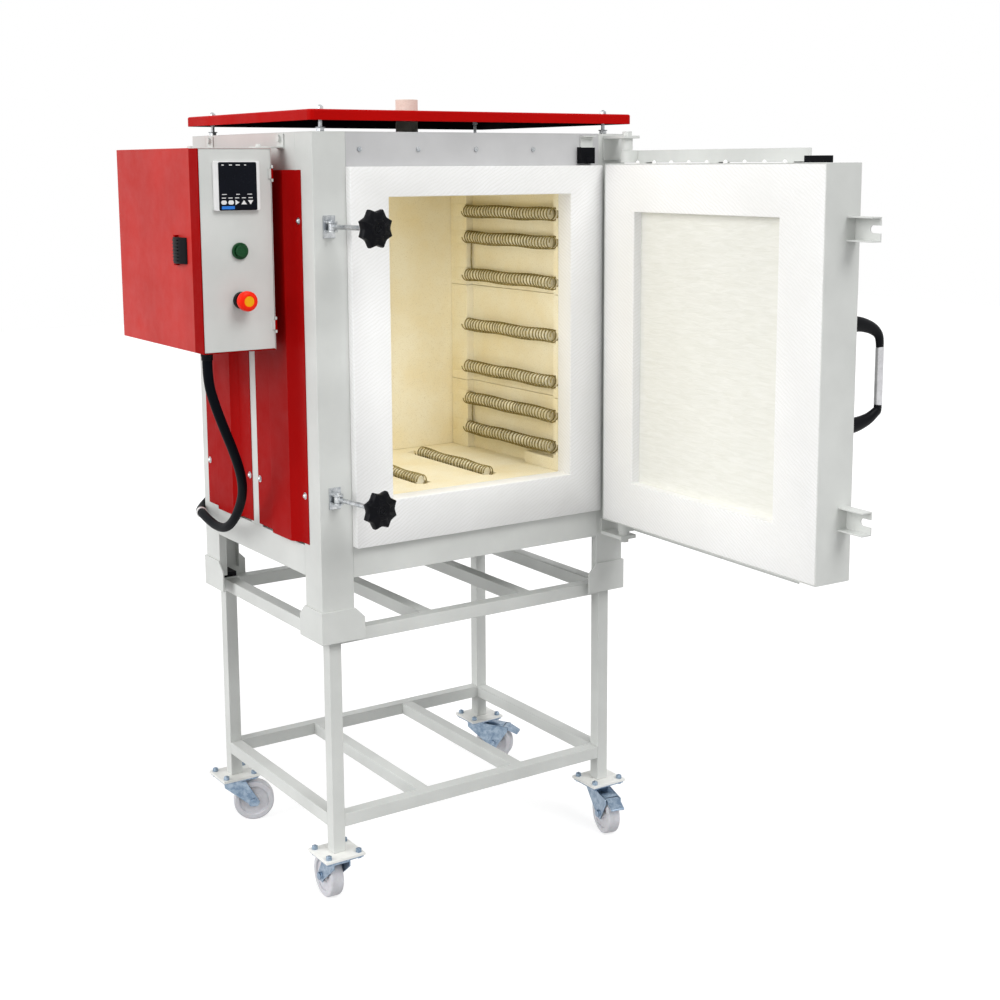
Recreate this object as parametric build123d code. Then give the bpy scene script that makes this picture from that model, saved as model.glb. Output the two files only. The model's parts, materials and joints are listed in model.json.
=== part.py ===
from build123d import *
import os
from math import atan2, cos, degrees, pi, radians, sin, tan

os.makedirs("parts", exist_ok=True)

# A front-loading ceramic kiln on a castored stand, modelled with its door open.
# Millimetres, +Z up. While it is built, x = 0 is the cabinet's left face, y = 0 is
# its front face and z = 0 is the floor; the whole is then moved so that the origin
# is at the bottom centre of its box.

# Cabinet of folded sheet
cabinet_w = 769
cabinet_d = 581
cabinet_top = 1609
sheet = 2
post_w = 73
post_bottom = 612
post_lip = 18
rail_bottom = 711
rail_top = 775
rail_depth = 34
top_rail_h = 31
strip_y0 = 284
strip_y1 = 317
panel_z0 = 780
panel_z1 = 1535
panel_rise = 15
panel_sheet = 1.5
header_z = 1541
screw_r = 5
screw_h = 2.5

# Roof tray on studs, and the vent through it
roof_over_x = 9
roof_over_y = 11
roof_z0 = 1630
roof_z1 = 1651
roof_corner = 12
stud_r = 4
stud_x = 36
stud_y = 32
bar_half = 9
vent_r = 24.5
vent_wall = 3
vent_x = cabinet_w / 2
vent_y = 290
vent_top = 1686
vent_gap = 0.3

# Firing chamber and its lining
collar_x0 = 73
collar_x1 = 696
collar_front = -18
collar_back = 30
mouth_w = 450
mouth_z0 = 866
mouth_z1 = 1481
chamber_back = 470
lining_back = 545
recess = 17.5
recess_y0 = 47
recess_y1 = 400
ledge_top = 893
ledge_back = 160
brick_joints = (1030, 1260)
brick_gap = 0.8
lining_x0 = 73
lining_x1 = 696
lining_floor_z = 778
lining_roof_z = 1545
groove_w = 36
groove_deep = 21
groove_y0 = 92
groove_y1 = 428

# Heating elements: a coil of thick wire wound on a ceramic tube
coil_r = 14
wire_r = 2.5
tube_r = 8.5
tube_bore_r = 5
element_z = (1436, 1374, 1286, 1167, 1065, 989, 917)
element_y0 = 38
element_y1 = 442
coil_y0 = 54
coil_y1 = 392
wall_turns = 12
floor_turns = 8
floor_element_x = (299, 471)
floor_element_z = 860
end_arc_r = 12

# Stand of square tube
tube = 28
tube_wall = 2
leg_inset_x = 23
leg_inset_y = 19
leg_bottom = 117
leg_top = 597
low_rail_z = 171
high_rail_z = 569
low_cross_x = (258, 506)
high_cross_x = (272, 532)
socket_z0 = 580
socket_z1 = 648
socket_arm = 96
socket_t = 4
foot_w = 92
foot_d = 86
foot_t = 6

# Castors
castor_plate_t = 4
wheel_r = 47.5
wheel_w = 30
trail = 43
fork_gap = 34
fork_t = 3
crown_r = 25
crown_z0 = 96.5
crown_z1 = 106.5
king_r = 5
axle_r = 4
running_fit = 0.05
pedal_pin_y = 76
pedal_pin_z = 88
castor_turns = {"front_left": -3, "rear_left": -113, "front_right": 167, "rear_right": -140}
braked = ("front_right", "rear_right")

# Door, drawn shut and then swung open; s runs from its hinge edge, n outwards
door_w = 680
door_t = 89.4
door_z0 = 757.7
door_z1 = 1544.7
door_edge_x = 757
door_face_y = -19
door_open = 88.1
hinge_s = 27.6
hinge_n = 39.7
hinge_x = door_edge_x - hinge_s
hinge_y = door_face_y - hinge_n
hinge_pin_r = 6
plug_s0 = 107
plug_s1 = 557
plug_z0 = 857
plug_z1 = 1443
plug_deep = 20
arm_s0 = -8
arm_s1 = 576
arm_n0 = 58
arm_n1 = 88
arm_h = 26
arm_wall = 2.5
bracket_x0 = 708
bracket_x1 = 750
bracket_reach = 76
lug_s1 = 743
lug_n0 = 53
lug_n1 = 78
lug_half = 23
lug_t = 3
slot_s = 717
slot_half = 7
handle_s = 662
handle_z0 = 1038
handle_z1 = 1262
handle_off = 77
handle_r = 8
handle_foot_r = 12

# Swing bolts that clamp the door
bolt_x = 33
bolt_y = -16
bolt_z = (882, 1425)
bolt_rod_r = 5
bolt_len = 144
bolt_rest = 9
knob_at = 134
knob_r = 32
knob_h = 20
knob_lobes = 8
ear_gap = 13
ear_t = 4
pin_r = 4

# Control box beside the cabinet
box_x0 = -192
box_x1 = -36
box_y0 = 105
box_seam = 147
box_y1 = 540
box_z0 = 1178
box_z1 = 1578
panel_t = 2
panel_gap = 0.6
hinge_fit = 0.3
control_x = -110
controller_x = -114
controller_z = 1505
controller_w = 96
controller_rise = 9
controller_deep = 75
button_z = 1378
estop_z = 1281
catch_y0 = 169
catch_y1 = 225
catch_z0 = 1352
catch_z1 = 1404

# Conduit hose from the control box to the rear terminal cover
hose_r = 10
hose_route = [
    (-176, 128, 1164),
    (-176, 128, 1122),
    (-164, 129, 1078),
    (-143, 136, 1026),
    (-116, 152, 972),
    (-91, 176, 922),
    (-71, 210, 876),
    (-59, 252, 834),
    (-52, 304, 800),
    (-50, 364, 780),
    (-50, 426, 772),
    (-48, 490, 774),
    (-42, 550, 780),
    (-20, 608, 790),
    (28, 644, 800),
    (86, 652, 804),
    (142, 652, 804),
]
cover_x0 = 166
cover_x1 = 603
cover_z0 = 782
cover_z1 = 1480
cover_deep = 90
cable_hole_r = 10
cable_hole_at = (540, cabinet_d + 50, cover_z0)


def block(x0, x1, y0, y1, z0, z1):
    return Pos((x0 + x1) / 2, (y0 + y1) / 2, (z0 + z1) / 2) * Box(x1 - x0, y1 - y0, z1 - z0)


def round_x(y, z, x0, x1, r):
    return Pos((x0 + x1) / 2, y, z) * Rot(0, 90, 0) * Cylinder(r, x1 - x0)


def round_y(x, z, y0, y1, r):
    return Pos(x, (y0 + y1) / 2, z) * Rot(90, 0, 0) * Cylinder(r, y1 - y0)


def round_z(x, y, z0, z1, r):
    return Pos(x, y, (z0 + z1) / 2) * Cylinder(r, z1 - z0)


def prism_x(outline, x0, x1):
    face = make_face(Polyline(*[(x0, y, z) for y, z in outline], close=True))
    return extrude(face, x1 - x0, dir=(1, 0, 0))


def prism_y(outline, y0, y1):
    face = make_face(Polyline(*[(x, y0, z) for x, z in outline], close=True))
    return extrude(face, y1 - y0, dir=(0, 1, 0))


def prism_z(outline, z0, z1):
    face = make_face(Polyline(*[(x, y, z0) for x, y in outline], close=True))
    return extrude(face, z1 - z0, dir=(0, 0, 1))


def square_tube(x0, x1, y0, y1, z0, z1, along):
    gap = [0 if axis == along else tube_wall for axis in "xyz"]
    bore = block(x0 + gap[0], x1 - gap[0], y0 + gap[1], y1 - gap[1], z0 + gap[2], z1 - gap[2])
    return block(x0, x1, y0, y1, z0, z1) - bore


def mirrored(shape, axis, at):
    origin = (at, 0, 0) if axis == "x" else (0, at, 0)
    normal = (1, 0, 0) if axis == "x" else (0, 1, 0)
    return mirror(shape, about=Plane(origin=origin, z_dir=normal))


def left_right(shape):
    return [shape, mirrored(shape, "x", cabinet_w / 2)]


def four_corners(shape):
    front = left_right(shape)
    return front + [mirrored(one, "y", cabinet_d / 2) for one in front]


# Stand

def stand_legs():
    x0 = leg_inset_x
    y0 = leg_inset_y
    leg = square_tube(x0, x0 + tube, y0, y0 + tube, leg_bottom, leg_top, "z")
    return four_corners(leg)


def stand_rails():
    x0 = leg_inset_x + tube
    y0 = leg_inset_y + tube
    rails = []
    for z, crosses in ((low_rail_z, low_cross_x), (high_rail_z, high_cross_x)):
        front = square_tube(x0, cabinet_w - x0, leg_inset_y, y0, z, z + tube, "x")
        side = square_tube(leg_inset_x, x0, y0, cabinet_d - y0, z, z + tube, "y")
        rails += [front, mirrored(front, "y", cabinet_d / 2)] + left_right(side)
        for x in crosses:
            rails.append(square_tube(x - tube / 2, x + tube / 2, y0, cabinet_d - y0, z, z + tube, "y"))
    return rails


def corner_sockets():
    arm = socket_arm
    t = socket_t
    slope = 22
    wing = [(-t, socket_z0), (arm, socket_z0), (arm, socket_z1 - slope)]
    wing += [(arm - slope, socket_z1), (-t, socket_z1)]
    front = prism_y(wing, -t, 0)
    side = prism_x(wing, -t, 0)
    shelf = block(-t, leg_inset_x + tube + 6, -t, leg_inset_y + tube + 6, leg_top, leg_top + t)
    return four_corners(front + side + shelf)


def body_feet():
    return four_corners(block(4, 50, 4, 50, leg_top + socket_t, post_bottom))


def leg_centres():
    x = leg_inset_x + tube / 2
    y = leg_inset_y + tube / 2
    return {
        "front_left": (x, y),
        "front_right": (cabinet_w - x, y),
        "rear_left": (x, cabinet_d - y),
        "rear_right": (cabinet_w - x, cabinet_d - y),
    }


def foot_bolt_places():
    return [(sx * (foot_w / 2 - 11), sy * (foot_d / 2 - 11)) for sx in (-1, 1) for sy in (-1, 1)]


def centred_plate(x, y, w, d, z0, z1):
    return block(x - w / 2, x + w / 2, y - d / 2, y + d / 2, z0, z1)


def foot_plates():
    plates = []
    for x, y in leg_centres().values():
        plate = centred_plate(x, y, foot_w, foot_d, leg_bottom - foot_t, leg_bottom)
        for dx, dy in foot_bolt_places():
            plate -= round_z(x + dx, y + dy, leg_bottom - foot_t, leg_bottom, stud_r + 0.3)
        plates.append(plate)
    return plates


def castor_plates():
    plates = []
    top = leg_bottom - foot_t
    low = top - castor_plate_t
    for x, y in leg_centres().values():
        plate = centred_plate(x, y, foot_w - 6, foot_d - 6, low, top)
        for dx, dy in foot_bolt_places():
            plate -= round_z(x + dx, y + dy, low, top, stud_r + 0.3)
        king = round_z(x, y, crown_z0 - 6, low, king_r)
        head = round_z(x, y, crown_z0 - 7, crown_z0 - 3, king_r + 3)
        plates.append(plate + king + head)
    return plates


def foot_bolts():
    bolts = []
    low = leg_bottom - foot_t - castor_plate_t
    for x, y in leg_centres().values():
        for dx, dy in foot_bolt_places():
            rod = round_z(x + dx, y + dy, low, leg_bottom + 4, stud_r)
            head = Pos(x + dx, y + dy, low - 2.5) * extrude(RegularPolygon(7, 6), 2.5)
            nut = Pos(x + dx, y + dy, leg_bottom) * extrude(RegularPolygon(7, 6), 7)
            dome = Pos(x + dx, y + dy, leg_bottom + 7) * Sphere(5.5, arc_size1=0)
            bolts.append(rod + head + nut + dome)
    return bolts


# Castors, each drawn with its wheel trailing along +Y from the kingpin at x = y = 0

def castor_fork(has_brake):
    half = fork_gap / 2
    crown = round_z(0, 0, crown_z0, crown_z1, crown_r)
    bridge = block(-half - fork_t, half + fork_t, -crown_r, crown_r - 4, crown_z0, crown_z0 + fork_t)
    outline = [(-crown_r, crown_z0 + fork_t), (-crown_r, crown_z0 - 10), (trail - 14, wheel_r - 4)]
    outline += [(trail - 9, wheel_r - 12), (trail + 9, wheel_r - 12), (trail + 14, wheel_r - 2)]
    if has_brake:
        outline += [(pedal_pin_y + 6, pedal_pin_z - 6), (pedal_pin_y + 6, pedal_pin_z + 6)]
        outline += [(pedal_pin_y - 8, pedal_pin_z + 7)]
    outline += [(crown_r, crown_z0 + fork_t)]
    cheek = prism_x(outline, half, half + fork_t)
    fork = crown + bridge + cheek + mirrored(cheek, "x", 0)
    fork -= round_z(0, 0, crown_z0 - 1, crown_z1 + 1, king_r + running_fit)
    fork += round_x(trail, wheel_r, -half - fork_t - 5, half + fork_t + 5, axle_r)
    nut = round_x(trail, wheel_r, half + fork_t, half + fork_t + 5, 8)
    fork += nut + mirrored(nut, "x", 0)
    if has_brake:
        fork += round_x(pedal_pin_y, pedal_pin_z, -half - fork_t, half + fork_t, 2.5)
    return fork


def castor_wheel():
    half = wheel_w / 2
    tyre = round_x(trail, wheel_r, -half, half, wheel_r)
    tyre = fillet(tyre.edges().filter_by(GeomType.CIRCLE), 5)
    dish = round_x(trail, wheel_r, half - 5, half, 34) - round_x(trail, wheel_r, half - 5, half, 15)
    tyre = tyre - dish - mirrored(dish, "x", 0)
    return tyre - round_x(trail, wheel_r, -half, half, axle_r + running_fit)


def brake_pedal():
    y = pedal_pin_y
    z = pedal_pin_z
    outline = [(y - 5, z + 6), (y + 6, z + 6), (y + 32, z - 8), (y + 32, z - 12)]
    outline += [(y + 6, z - 3), (y + 3, z - 6), (y - 5, z - 1)]
    half = fork_gap / 2 - 1
    pedal = prism_x(outline, -half, half)
    return pedal - round_x(pedal_pin_y, pedal_pin_z, -half, half, 2.5 + running_fit)


def castor_place(name):
    x, y = leg_centres()[name]
    return Pos(x, y, 0) * Rot(0, 0, castor_turns[name])


# Cabinet

def corner_posts():
    w = post_w
    t = sheet
    outline = [(0, 0), (w, 0), (w, post_lip), (w - t, post_lip), (w - t, t), (t, t)]
    outline += [(t, w - t), (post_lip, w - t), (post_lip, w), (0, w)]
    return four_corners(prism_z(outline, post_bottom, cabinet_top))


def channel_outline(z0, z1):
    t = sheet
    d = rail_depth
    return [(0, z0), (d, z0), (d, z0 + t), (t, z0 + t), (t, z1 - t), (d, z1 - t), (d, z1), (0, z1)]


def body_rails():
    span_x = (post_w, cabinet_w - post_w)
    span_y = (post_w, cabinet_d - post_w)
    low = channel_outline(rail_bottom, rail_top)
    high = channel_outline(cabinet_top - top_rail_h, cabinet_top)
    front = prism_x(low, *span_x)
    side = prism_y(low, *span_y)
    web_z0 = panel_z1 - 8
    top_side = prism_y(high, *span_y)
    top_side += block(0, sheet, *span_y, web_z0, cabinet_top - top_rail_h + sheet)
    top_rear = mirrored(prism_x(high, *span_x), "y", cabinet_d / 2)
    strip = block(0, sheet, strip_y0 - 12, strip_y1 + 12, rail_top, web_z0)
    rails = [front, mirrored(front, "y", cabinet_d / 2), top_rear]
    rails += left_right(side) + left_right(top_side) + left_right(strip)
    edge = rail_depth + 1
    pan = block(edge, cabinet_w - edge, edge, cabinet_d - edge, rail_top - sheet, rail_top)
    lid_y = stud_y + bar_half + 1
    lid = block(edge, cabinet_w - edge, lid_y, cabinet_d - lid_y, cabinet_top - sheet, cabinet_top)
    lid -= round_z(vent_x, vent_y, cabinet_top - sheet, cabinet_top, vent_r + vent_gap)
    return rails + [pan, lid]


def side_pan(y0, y1, rise0, rise1):
    t = panel_sheet
    slant = 21
    back = 10
    crest = -panel_rise
    outer = [(-t, y0), (-t, rise0), (crest, rise0 + slant), (crest, rise1 - back), (-t, rise1), (-t, y1)]
    inner = [(x + t, y) for x, y in reversed(outer)]
    skin = prism_z(outer + inner, panel_z0, panel_z1)
    half = t / 2
    rib = [(-half, rise0), (crest + half, rise0 + slant), (crest + half, rise1 - back), (-half, rise1)]
    return skin + prism_z(rib, panel_z0, panel_z0 + t) + prism_z(rib, panel_z1 - t, panel_z1)


def side_panels():
    front = side_pan(49, 285, 82, 200)
    rear = side_pan(315, 552, 367, 480)
    return left_right(front) + left_right(rear)


def rear_panel():
    sheet_metal = block(49, cabinet_w - 49, cabinet_d, cabinet_d + panel_sheet, panel_z0, panel_z1)
    return sheet_metal - round_y(cabinet_w / 2, 1400, cabinet_d, cabinet_d + panel_sheet, 6)


def rear_cover():
    y0 = cabinet_d + panel_sheet
    y1 = y0 + cover_deep
    t = panel_sheet
    shell = block(cover_x0, cover_x1, y0, y1, cover_z0, cover_z1)
    shell -= block(cover_x0 + t, cover_x1 - t, y0, y1 - t, cover_z0 + t, cover_z1 - t)
    end = hose_route[-1]
    shell -= round_x(end[1], end[2], cover_x0, cover_x0 + t, 8)
    x, y, z = cable_hole_at
    return shell - round_z(x, y, z, z + t, cable_hole_r)


def header_plate():
    plate = block(post_w, cabinet_w - post_w, 0, sheet, header_z, cabinet_top)
    fold = block(post_w, cabinet_w - post_w, sheet, rail_depth, cabinet_top - sheet, cabinet_top)
    lip = block(post_w, cabinet_w - post_w, sheet, 24, header_z, header_z + sheet)
    return plate + fold + lip


def small_screws():
    screws = [round_y(x, 1575, -screw_h, 0, screw_r) for x in (104, 239, 378, 522)]
    for y in (62, 275, 326, 540):
        for z in (880, 1435):
            screws += left_right(round_x(y, z, -panel_sheet - screw_h, -panel_sheet, screw_r))
    for x in (62, cabinet_w - 62):
        for z in (800, 1158, 1515):
            screws.append(round_y(x, z, cabinet_d + panel_sheet, cabinet_d + panel_sheet + screw_h, screw_r))
    return screws


def roof_cover():
    x0 = -roof_over_x
    x1 = cabinet_w + roof_over_x + 2
    y0 = -roof_over_y - 1
    y1 = cabinet_d + roof_over_y - 1
    tray = block(x0, x1, y0, y1, roof_z0, roof_z1)
    tray = fillet(tray.edges().filter_by(Axis.Z), roof_corner)
    tray = fillet(tray.faces().sort_by(Axis.Z)[-1].edges(), 4)
    t = sheet
    hollow = block(x0 + t, x1 - t, y0 + t, y1 - t, roof_z0, roof_z1 - t)
    hollow = fillet(hollow.edges().filter_by(Axis.Z), roof_corner - t)
    tray -= hollow
    for x, y in stud_places():
        tray -= round_z(x, y, roof_z0, roof_z1, stud_r + 0.4)
    return tray - round_z(vent_x, vent_y, roof_z0, roof_z1, vent_r + vent_gap)


def stud_places():
    return [(x, y) for x in (stud_x, cabinet_w - stud_x) for y in (stud_y, cabinet_d - stud_y)]


def roof_studs():
    studs = []
    for x, y in stud_places():
        stud = round_z(x, y, cabinet_top, roof_z1 + 5, stud_r)
        stud += Pos(x, y, cabinet_top) * extrude(RegularPolygon(8.5, 6), 7)
        stud += round_z(x, y, cabinet_top + 7, cabinet_top + 9, 10)
        stud += Pos(x, y, roof_z1 - sheet - 6.5) * extrude(RegularPolygon(7.5, 6), 6.5)
        stud += Pos(x, y, roof_z1) * extrude(RegularPolygon(7.5, 6), 7)
        stud += Pos(x, y, roof_z1 + 7) * Sphere(6, arc_size1=0)
        studs.append(stud)
    low = stud_y - bar_half
    bar = block(sheet, post_w - sheet, low, stud_y + bar_half, cabinet_top - 3, cabinet_top)
    return studs + four_corners(bar)


def vent_tube():
    pipe = round_z(vent_x, vent_y, mouth_z1 + 4, vent_top, vent_r)
    return pipe - round_z(vent_x, vent_y, mouth_z1 + 4, vent_top, vent_r - vent_wall)


# Lining

mouth_x0 = (cabinet_w - mouth_w) / 2
mouth_x1 = (cabinet_w + mouth_w) / 2
element_x = mouth_x1 + 2.5


def fibre_collar():
    frame = block(collar_x0, collar_x1, collar_front, collar_back, rail_top, header_z)
    return frame - block(mouth_x0, mouth_x1, collar_front, collar_back, mouth_z0, mouth_z1)


def side_lining():
    plan = [(mouth_x1, collar_back), (mouth_x1, recess_y0), (mouth_x1 + recess, recess_y0)]
    plan += [(mouth_x1 + recess, recess_y1), (mouth_x1, recess_y1), (mouth_x1, chamber_back)]
    plan += [(lining_x1, chamber_back), (lining_x1, collar_back)]
    levels = (mouth_z0,) + brick_joints + (mouth_z1,)
    courses = []
    for low, high in zip(levels, levels[1:]):
        course = prism_z(plan, low, high - brick_gap)
        if low == mouth_z0:
            ledge = block(mouth_x1, mouth_x1 + recess, recess_y0, ledge_back - recess, low, ledge_top)
            nose = round_z(mouth_x1, ledge_back - recess, low, ledge_top, recess)
            nose &= block(mouth_x1, mouth_x1 + recess, ledge_back - recess, ledge_back, low, ledge_top)
            course += ledge + nose
        for z in element_z:
            if low < z < high:
                course -= round_y(element_x, z, element_y0, element_y1, coil_r + 1.5)
                course -= round_y(element_x, z, collar_back, chamber_back - 8, tube_r)
        courses.append(course)
    return courses


def lining_walls():
    right = side_lining()
    left = [mirrored(course, "x", cabinet_w / 2) for course in right]
    back = block(lining_x0, lining_x1, chamber_back, lining_back, mouth_z0, mouth_z1 - brick_gap)
    back -= round_y(cabinet_w / 2, 1400, chamber_back, lining_back, 6)
    return right + left + [back]


def lining_floor():
    floor = block(lining_x0, lining_x1, collar_back, lining_back, lining_floor_z, mouth_z0)
    for x in floor_element_x:
        top = (x - groove_w / 2, x + groove_w / 2, groove_y0, groove_y1, mouth_z0 - groove_deep, mouth_z0)
        floor -= block(*top)
    for x in floor_element_x:
        floor -= round_y(x, floor_element_z, groove_y0 - 8, groove_y1 + 8, tube_r)
    return floor


def lining_roof():
    roof = block(lining_x0, lining_x1, collar_back, lining_back, mouth_z1, lining_roof_z)
    roof -= round_z(vent_x, vent_y, mouth_z1 + 4, lining_roof_z, vent_r + vent_gap)
    return roof - round_z(vent_x, vent_y, mouth_z1, mouth_z1 + 4, vent_r - vent_wall)


def backup_insulation():
    side = block(post_lip + 2, lining_x0 - 2, post_w + 1, cabinet_d - post_w - 1, rail_top + 1, 1570)
    low = lining_roof_z + 1
    top = block(lining_x0, lining_x1, collar_back + 6, lining_back, low, cabinet_top - sheet - 1)
    top -= round_z(vent_x, vent_y, lining_roof_z, cabinet_top, vent_r + vent_gap)
    back = block(lining_x0 + 4, lining_x1 - 4, lining_back + 1, cabinet_d - 2, rail_top + 1, 1570)
    back -= round_y(cabinet_w / 2, 1400, lining_back, cabinet_d, 6)
    return left_right(side) + [top, back]


# Heating elements

def element_tube(x, z, y0, y1):
    return round_y(x, z, y0, y1, tube_r) - round_y(x, z, y0, y1, tube_bore_r)


def element_tubes():
    tubes = []
    for z in element_z:
        one = element_tube(element_x, z, collar_back, chamber_back - 8)
        tubes += [one, mirrored(one, "x", cabinet_w / 2)]
    for x in floor_element_x:
        tubes.append(element_tube(x, floor_element_z, groove_y0 - 8, groove_y1 + 8))
    return tubes


def helix_point(angle, rise):
    r = coil_r - wire_r
    return Vector(r * cos(angle), rise * angle / (2 * pi), r * sin(angle))


def helix_heading(angle, rise):
    r = coil_r - wire_r
    return Vector(-r * sin(angle), rise / (2 * pi), r * cos(angle)).normalized()


def biarc(start, heading, end, end_heading):
    span = end - start
    both = heading + end_heading
    a = both.dot(both) - 4
    b = -2 * span.dot(both)
    reach = (-b - (b * b - 4 * a * span.dot(span)) ** 0.5) / (2 * a)
    middle = (start + heading * reach + end - end_heading * reach) / 2
    turned = (end - end_heading * reach - start - heading * reach).normalized()
    return [TangentArc(start, middle, tangent=heading), TangentArc(middle, end, tangent=turned)]


def wound_coil(turns, length, end_run):
    first = pi / 2
    quarters = int(turns * 4 - 2)
    rise = length / (quarters / 4)
    spots = [first + k * pi / 2 for k in range(quarters + 1)]
    edges = []
    places = [(helix_point(angle, rise), helix_heading(angle, rise)) for angle in spots]
    for here, after in zip(places, places[1:]):
        edges += biarc(*here, *after)
    lean = atan2(helix_heading(first, rise).Y, -helix_heading(first, rise).X)
    ends = []
    for angle, way in ((spots[0], -1), (spots[-1], 1)):
        tip = helix_point(angle, rise)
        heading = helix_heading(angle, rise) * way
        turn_end = tip + Vector(sin(lean), way * (1 - cos(lean)), 0) * end_arc_r
        ends.append((tip, heading, turn_end, Vector(end_run, turn_end.Y, turn_end.Z)))
    (tip0, heading0, turn0, root0), (tip1, heading1, turn1, root1) = ends
    edges = [Line(root0, turn0), TangentArc(turn0, tip0, tangent=(-1, 0, 0))] + edges
    edges += [TangentArc(tip1, turn1, tangent=heading1), Line(turn1, root1)]
    path = Wire(edges)
    profile = Plane(origin=path @ 0, z_dir=path % 0) * Circle(wire_r)
    coil = sweep(profile, path)
    marks = [path @ (k / (40 * turns)) for k in range(int(40 * turns) + 1)]
    apart = min(
        (p - q).length
        for i, p in enumerate(marks)
        for q in marks[i + 20 : i + 61]
    )
    name = f"coil of {turns} curls"
    steady = coil.volume / (pi * wire_r**2 * path.length)
    print(f"{name}: length {path.length:.0f}, volume ratio {steady:.4f}, least gap {apart - 2 * wire_r:.2f}")
    return Pos(0, -(root0.Y + root1.Y) / 2, 0) * coil


def heating_coils():
    wall = wound_coil(wall_turns, coil_y1 - coil_y0, mouth_x1 + recess - element_x)
    coils = [Pos(element_x, (coil_y0 + coil_y1) / 2, z) * wall for z in element_z]
    floor = wound_coil(floor_turns, groove_y1 - groove_y0 - 30, groove_deep - (mouth_z0 - floor_element_z))
    for x in floor_element_x:
        coils.append(Pos(x, (groove_y0 + groove_y1) / 2, floor_element_z) * Rot(0, 90, 0) * floor)
    return coils


def left_windings():
    x = cabinet_w - element_x
    windings = []
    for z in element_z:
        sleeve = round_y(x, z, coil_y0, coil_y1, coil_r)
        windings.append(sleeve - round_y(x, z, coil_y0, coil_y1, tube_r + 0.4))
    return windings


def thermocouple():
    x = cabinet_w / 2
    probe = round_y(x, 1400, chamber_back - 42, cabinet_d + panel_sheet + 2, 4.5)
    head = round_y(x, 1400, cabinet_d + panel_sheet, cabinet_d + panel_sheet + 30, 20)
    return probe + head


def door_switch():
    body = block(638, 676, -15, 0, 1545, 1580)
    plunger = round_y(657, 1552, -17, -15, 5)
    plate = block(646, 679, -2.5, 0, 1580, 1604) + block(646, 679, -14, -2.5, 1601.5, 1604)
    return [body + plunger, plate]


# Brackets on the front posts

def clamp_bracket(z):
    base = block(bolt_x - 13, bolt_x + 13, -3, 0, z - 22, z + 22)
    ears = []
    for side in (-1, 1):
        low = z + side * ear_gap / 2
        high = low + side * ear_t
        ear = block(bolt_x - 10, bolt_x + 10, bolt_y, -3, min(low, high), max(low, high))
        ear += round_z(bolt_x, bolt_y, min(low, high), max(low, high), 10)
        ears.append(ear)
    pin = round_z(bolt_x, bolt_y, z - ear_gap / 2 - ear_t - 3, z + ear_gap / 2 + ear_t + 3, pin_r)
    return base + ears[0] + ears[1] + pin


def hinge_bracket(shelf_span, leg_span, bush_span, pin_span):
    shelf = block(bracket_x0, bracket_x1, -bracket_reach, 0, *shelf_span)
    leg = block(bracket_x0, bracket_x1, -4, 0, *leg_span)
    bush = round_z(hinge_x, hinge_y, *bush_span, 12)
    pin = round_z(hinge_x, hinge_y, *pin_span, hinge_pin_r)
    return shelf + leg + bush + pin


def front_brackets():
    shelf = 1598
    arm_top = door_z1 + 2 + arm_h
    upper = hinge_bracket((shelf, shelf + 6), (1552, shelf), (arm_top + 0.4, shelf), (door_z1 + 3, shelf + 6))
    upper += Pos(hinge_x, hinge_y, shelf + 6) * extrude(RegularPolygon(11, 6), 9)
    arm_low = door_z0 - 1 - arm_h
    shelf = arm_low - 8
    lower = hinge_bracket((shelf - 8, shelf), (shelf, 752), (shelf, arm_low - 0.4), (shelf - 8, door_z0 - 3))
    lower += Pos(hinge_x, hinge_y, shelf - 17) * extrude(RegularPolygon(11, 6), 9)
    return [clamp_bracket(z) for z in bolt_z] + [upper, lower]


# Door, in its shut place

def door_x(s):
    return door_edge_x - s


def door_y(n):
    return door_face_y - n


def door_block(s0, s1, n0, n1, z0, z1):
    return block(door_x(s1), door_x(s0), door_y(n1), door_y(n0), z0, z1)


def door_shell():
    t = sheet
    shell = door_block(0, door_w, 0, door_t, door_z0, door_z1)
    shell = fillet(shell.edges().filter_by(Axis.Z).sort_by(Axis.Y)[:2], 4)
    return shell - door_block(t, door_w - t, 0, door_t - t, door_z0 + t, door_z1 - t)


def door_fibre():
    t = sheet
    slab = door_block(t, door_w - t, 0, door_t - t, door_z0 + t, door_z1 - t)
    return slab - door_block(plug_s0, plug_s1, 0, plug_deep, plug_z0, plug_z1)


def hinge_arm(z0):
    w = arm_wall
    z1 = z0 + arm_h
    tip = 29
    plan = [(door_x(arm_s0), door_y(arm_n0)), (door_x(arm_s1), door_y(arm_n0))]
    plan += [(door_x(arm_s1 - tip), door_y(arm_n1)), (door_x(arm_s0), door_y(arm_n1))]
    bar = prism_z(plan, z0, z1)
    bar -= door_block(arm_s0 + w, arm_s1 - tip - 4, arm_n0 + w, arm_n1 - w, z0 + w, z1 - w)
    bar -= door_block(arm_s0 + 12, arm_s1 - tip - 4, arm_n0 + w + 8, arm_n1 - w - 8, z0, z0 + w)
    eye = round_z(hinge_x, hinge_y, z0, z1, 14)
    web = door_block(hinge_s - 14, hinge_s + 14, hinge_n, arm_n0, z0, z1)
    bore = round_z(hinge_x, hinge_y, z0, z1, hinge_pin_r + running_fit)
    return bar + eye + web - bore


def hinge_arms():
    upper = hinge_arm(door_z1 + 2)
    lower = mirror(hinge_arm(-(door_z0 - 1)), about=Plane.XY)
    feet = [door_block(s, s + 30, arm_n0, arm_n1, door_z1, door_z1 + 2) for s in (40, 280, 500)]
    feet += [door_block(s, s + 30, arm_n0, arm_n1, door_z0 - 1, door_z0) for s in (40, 280, 500)]
    stop = door_block(560, 640, 30, 54, door_z1, door_z1 + 13)
    upper += feet[0] + feet[1] + feet[2]
    lower += feet[3] + feet[4] + feet[5]
    return [upper, lower, stop]


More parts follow.
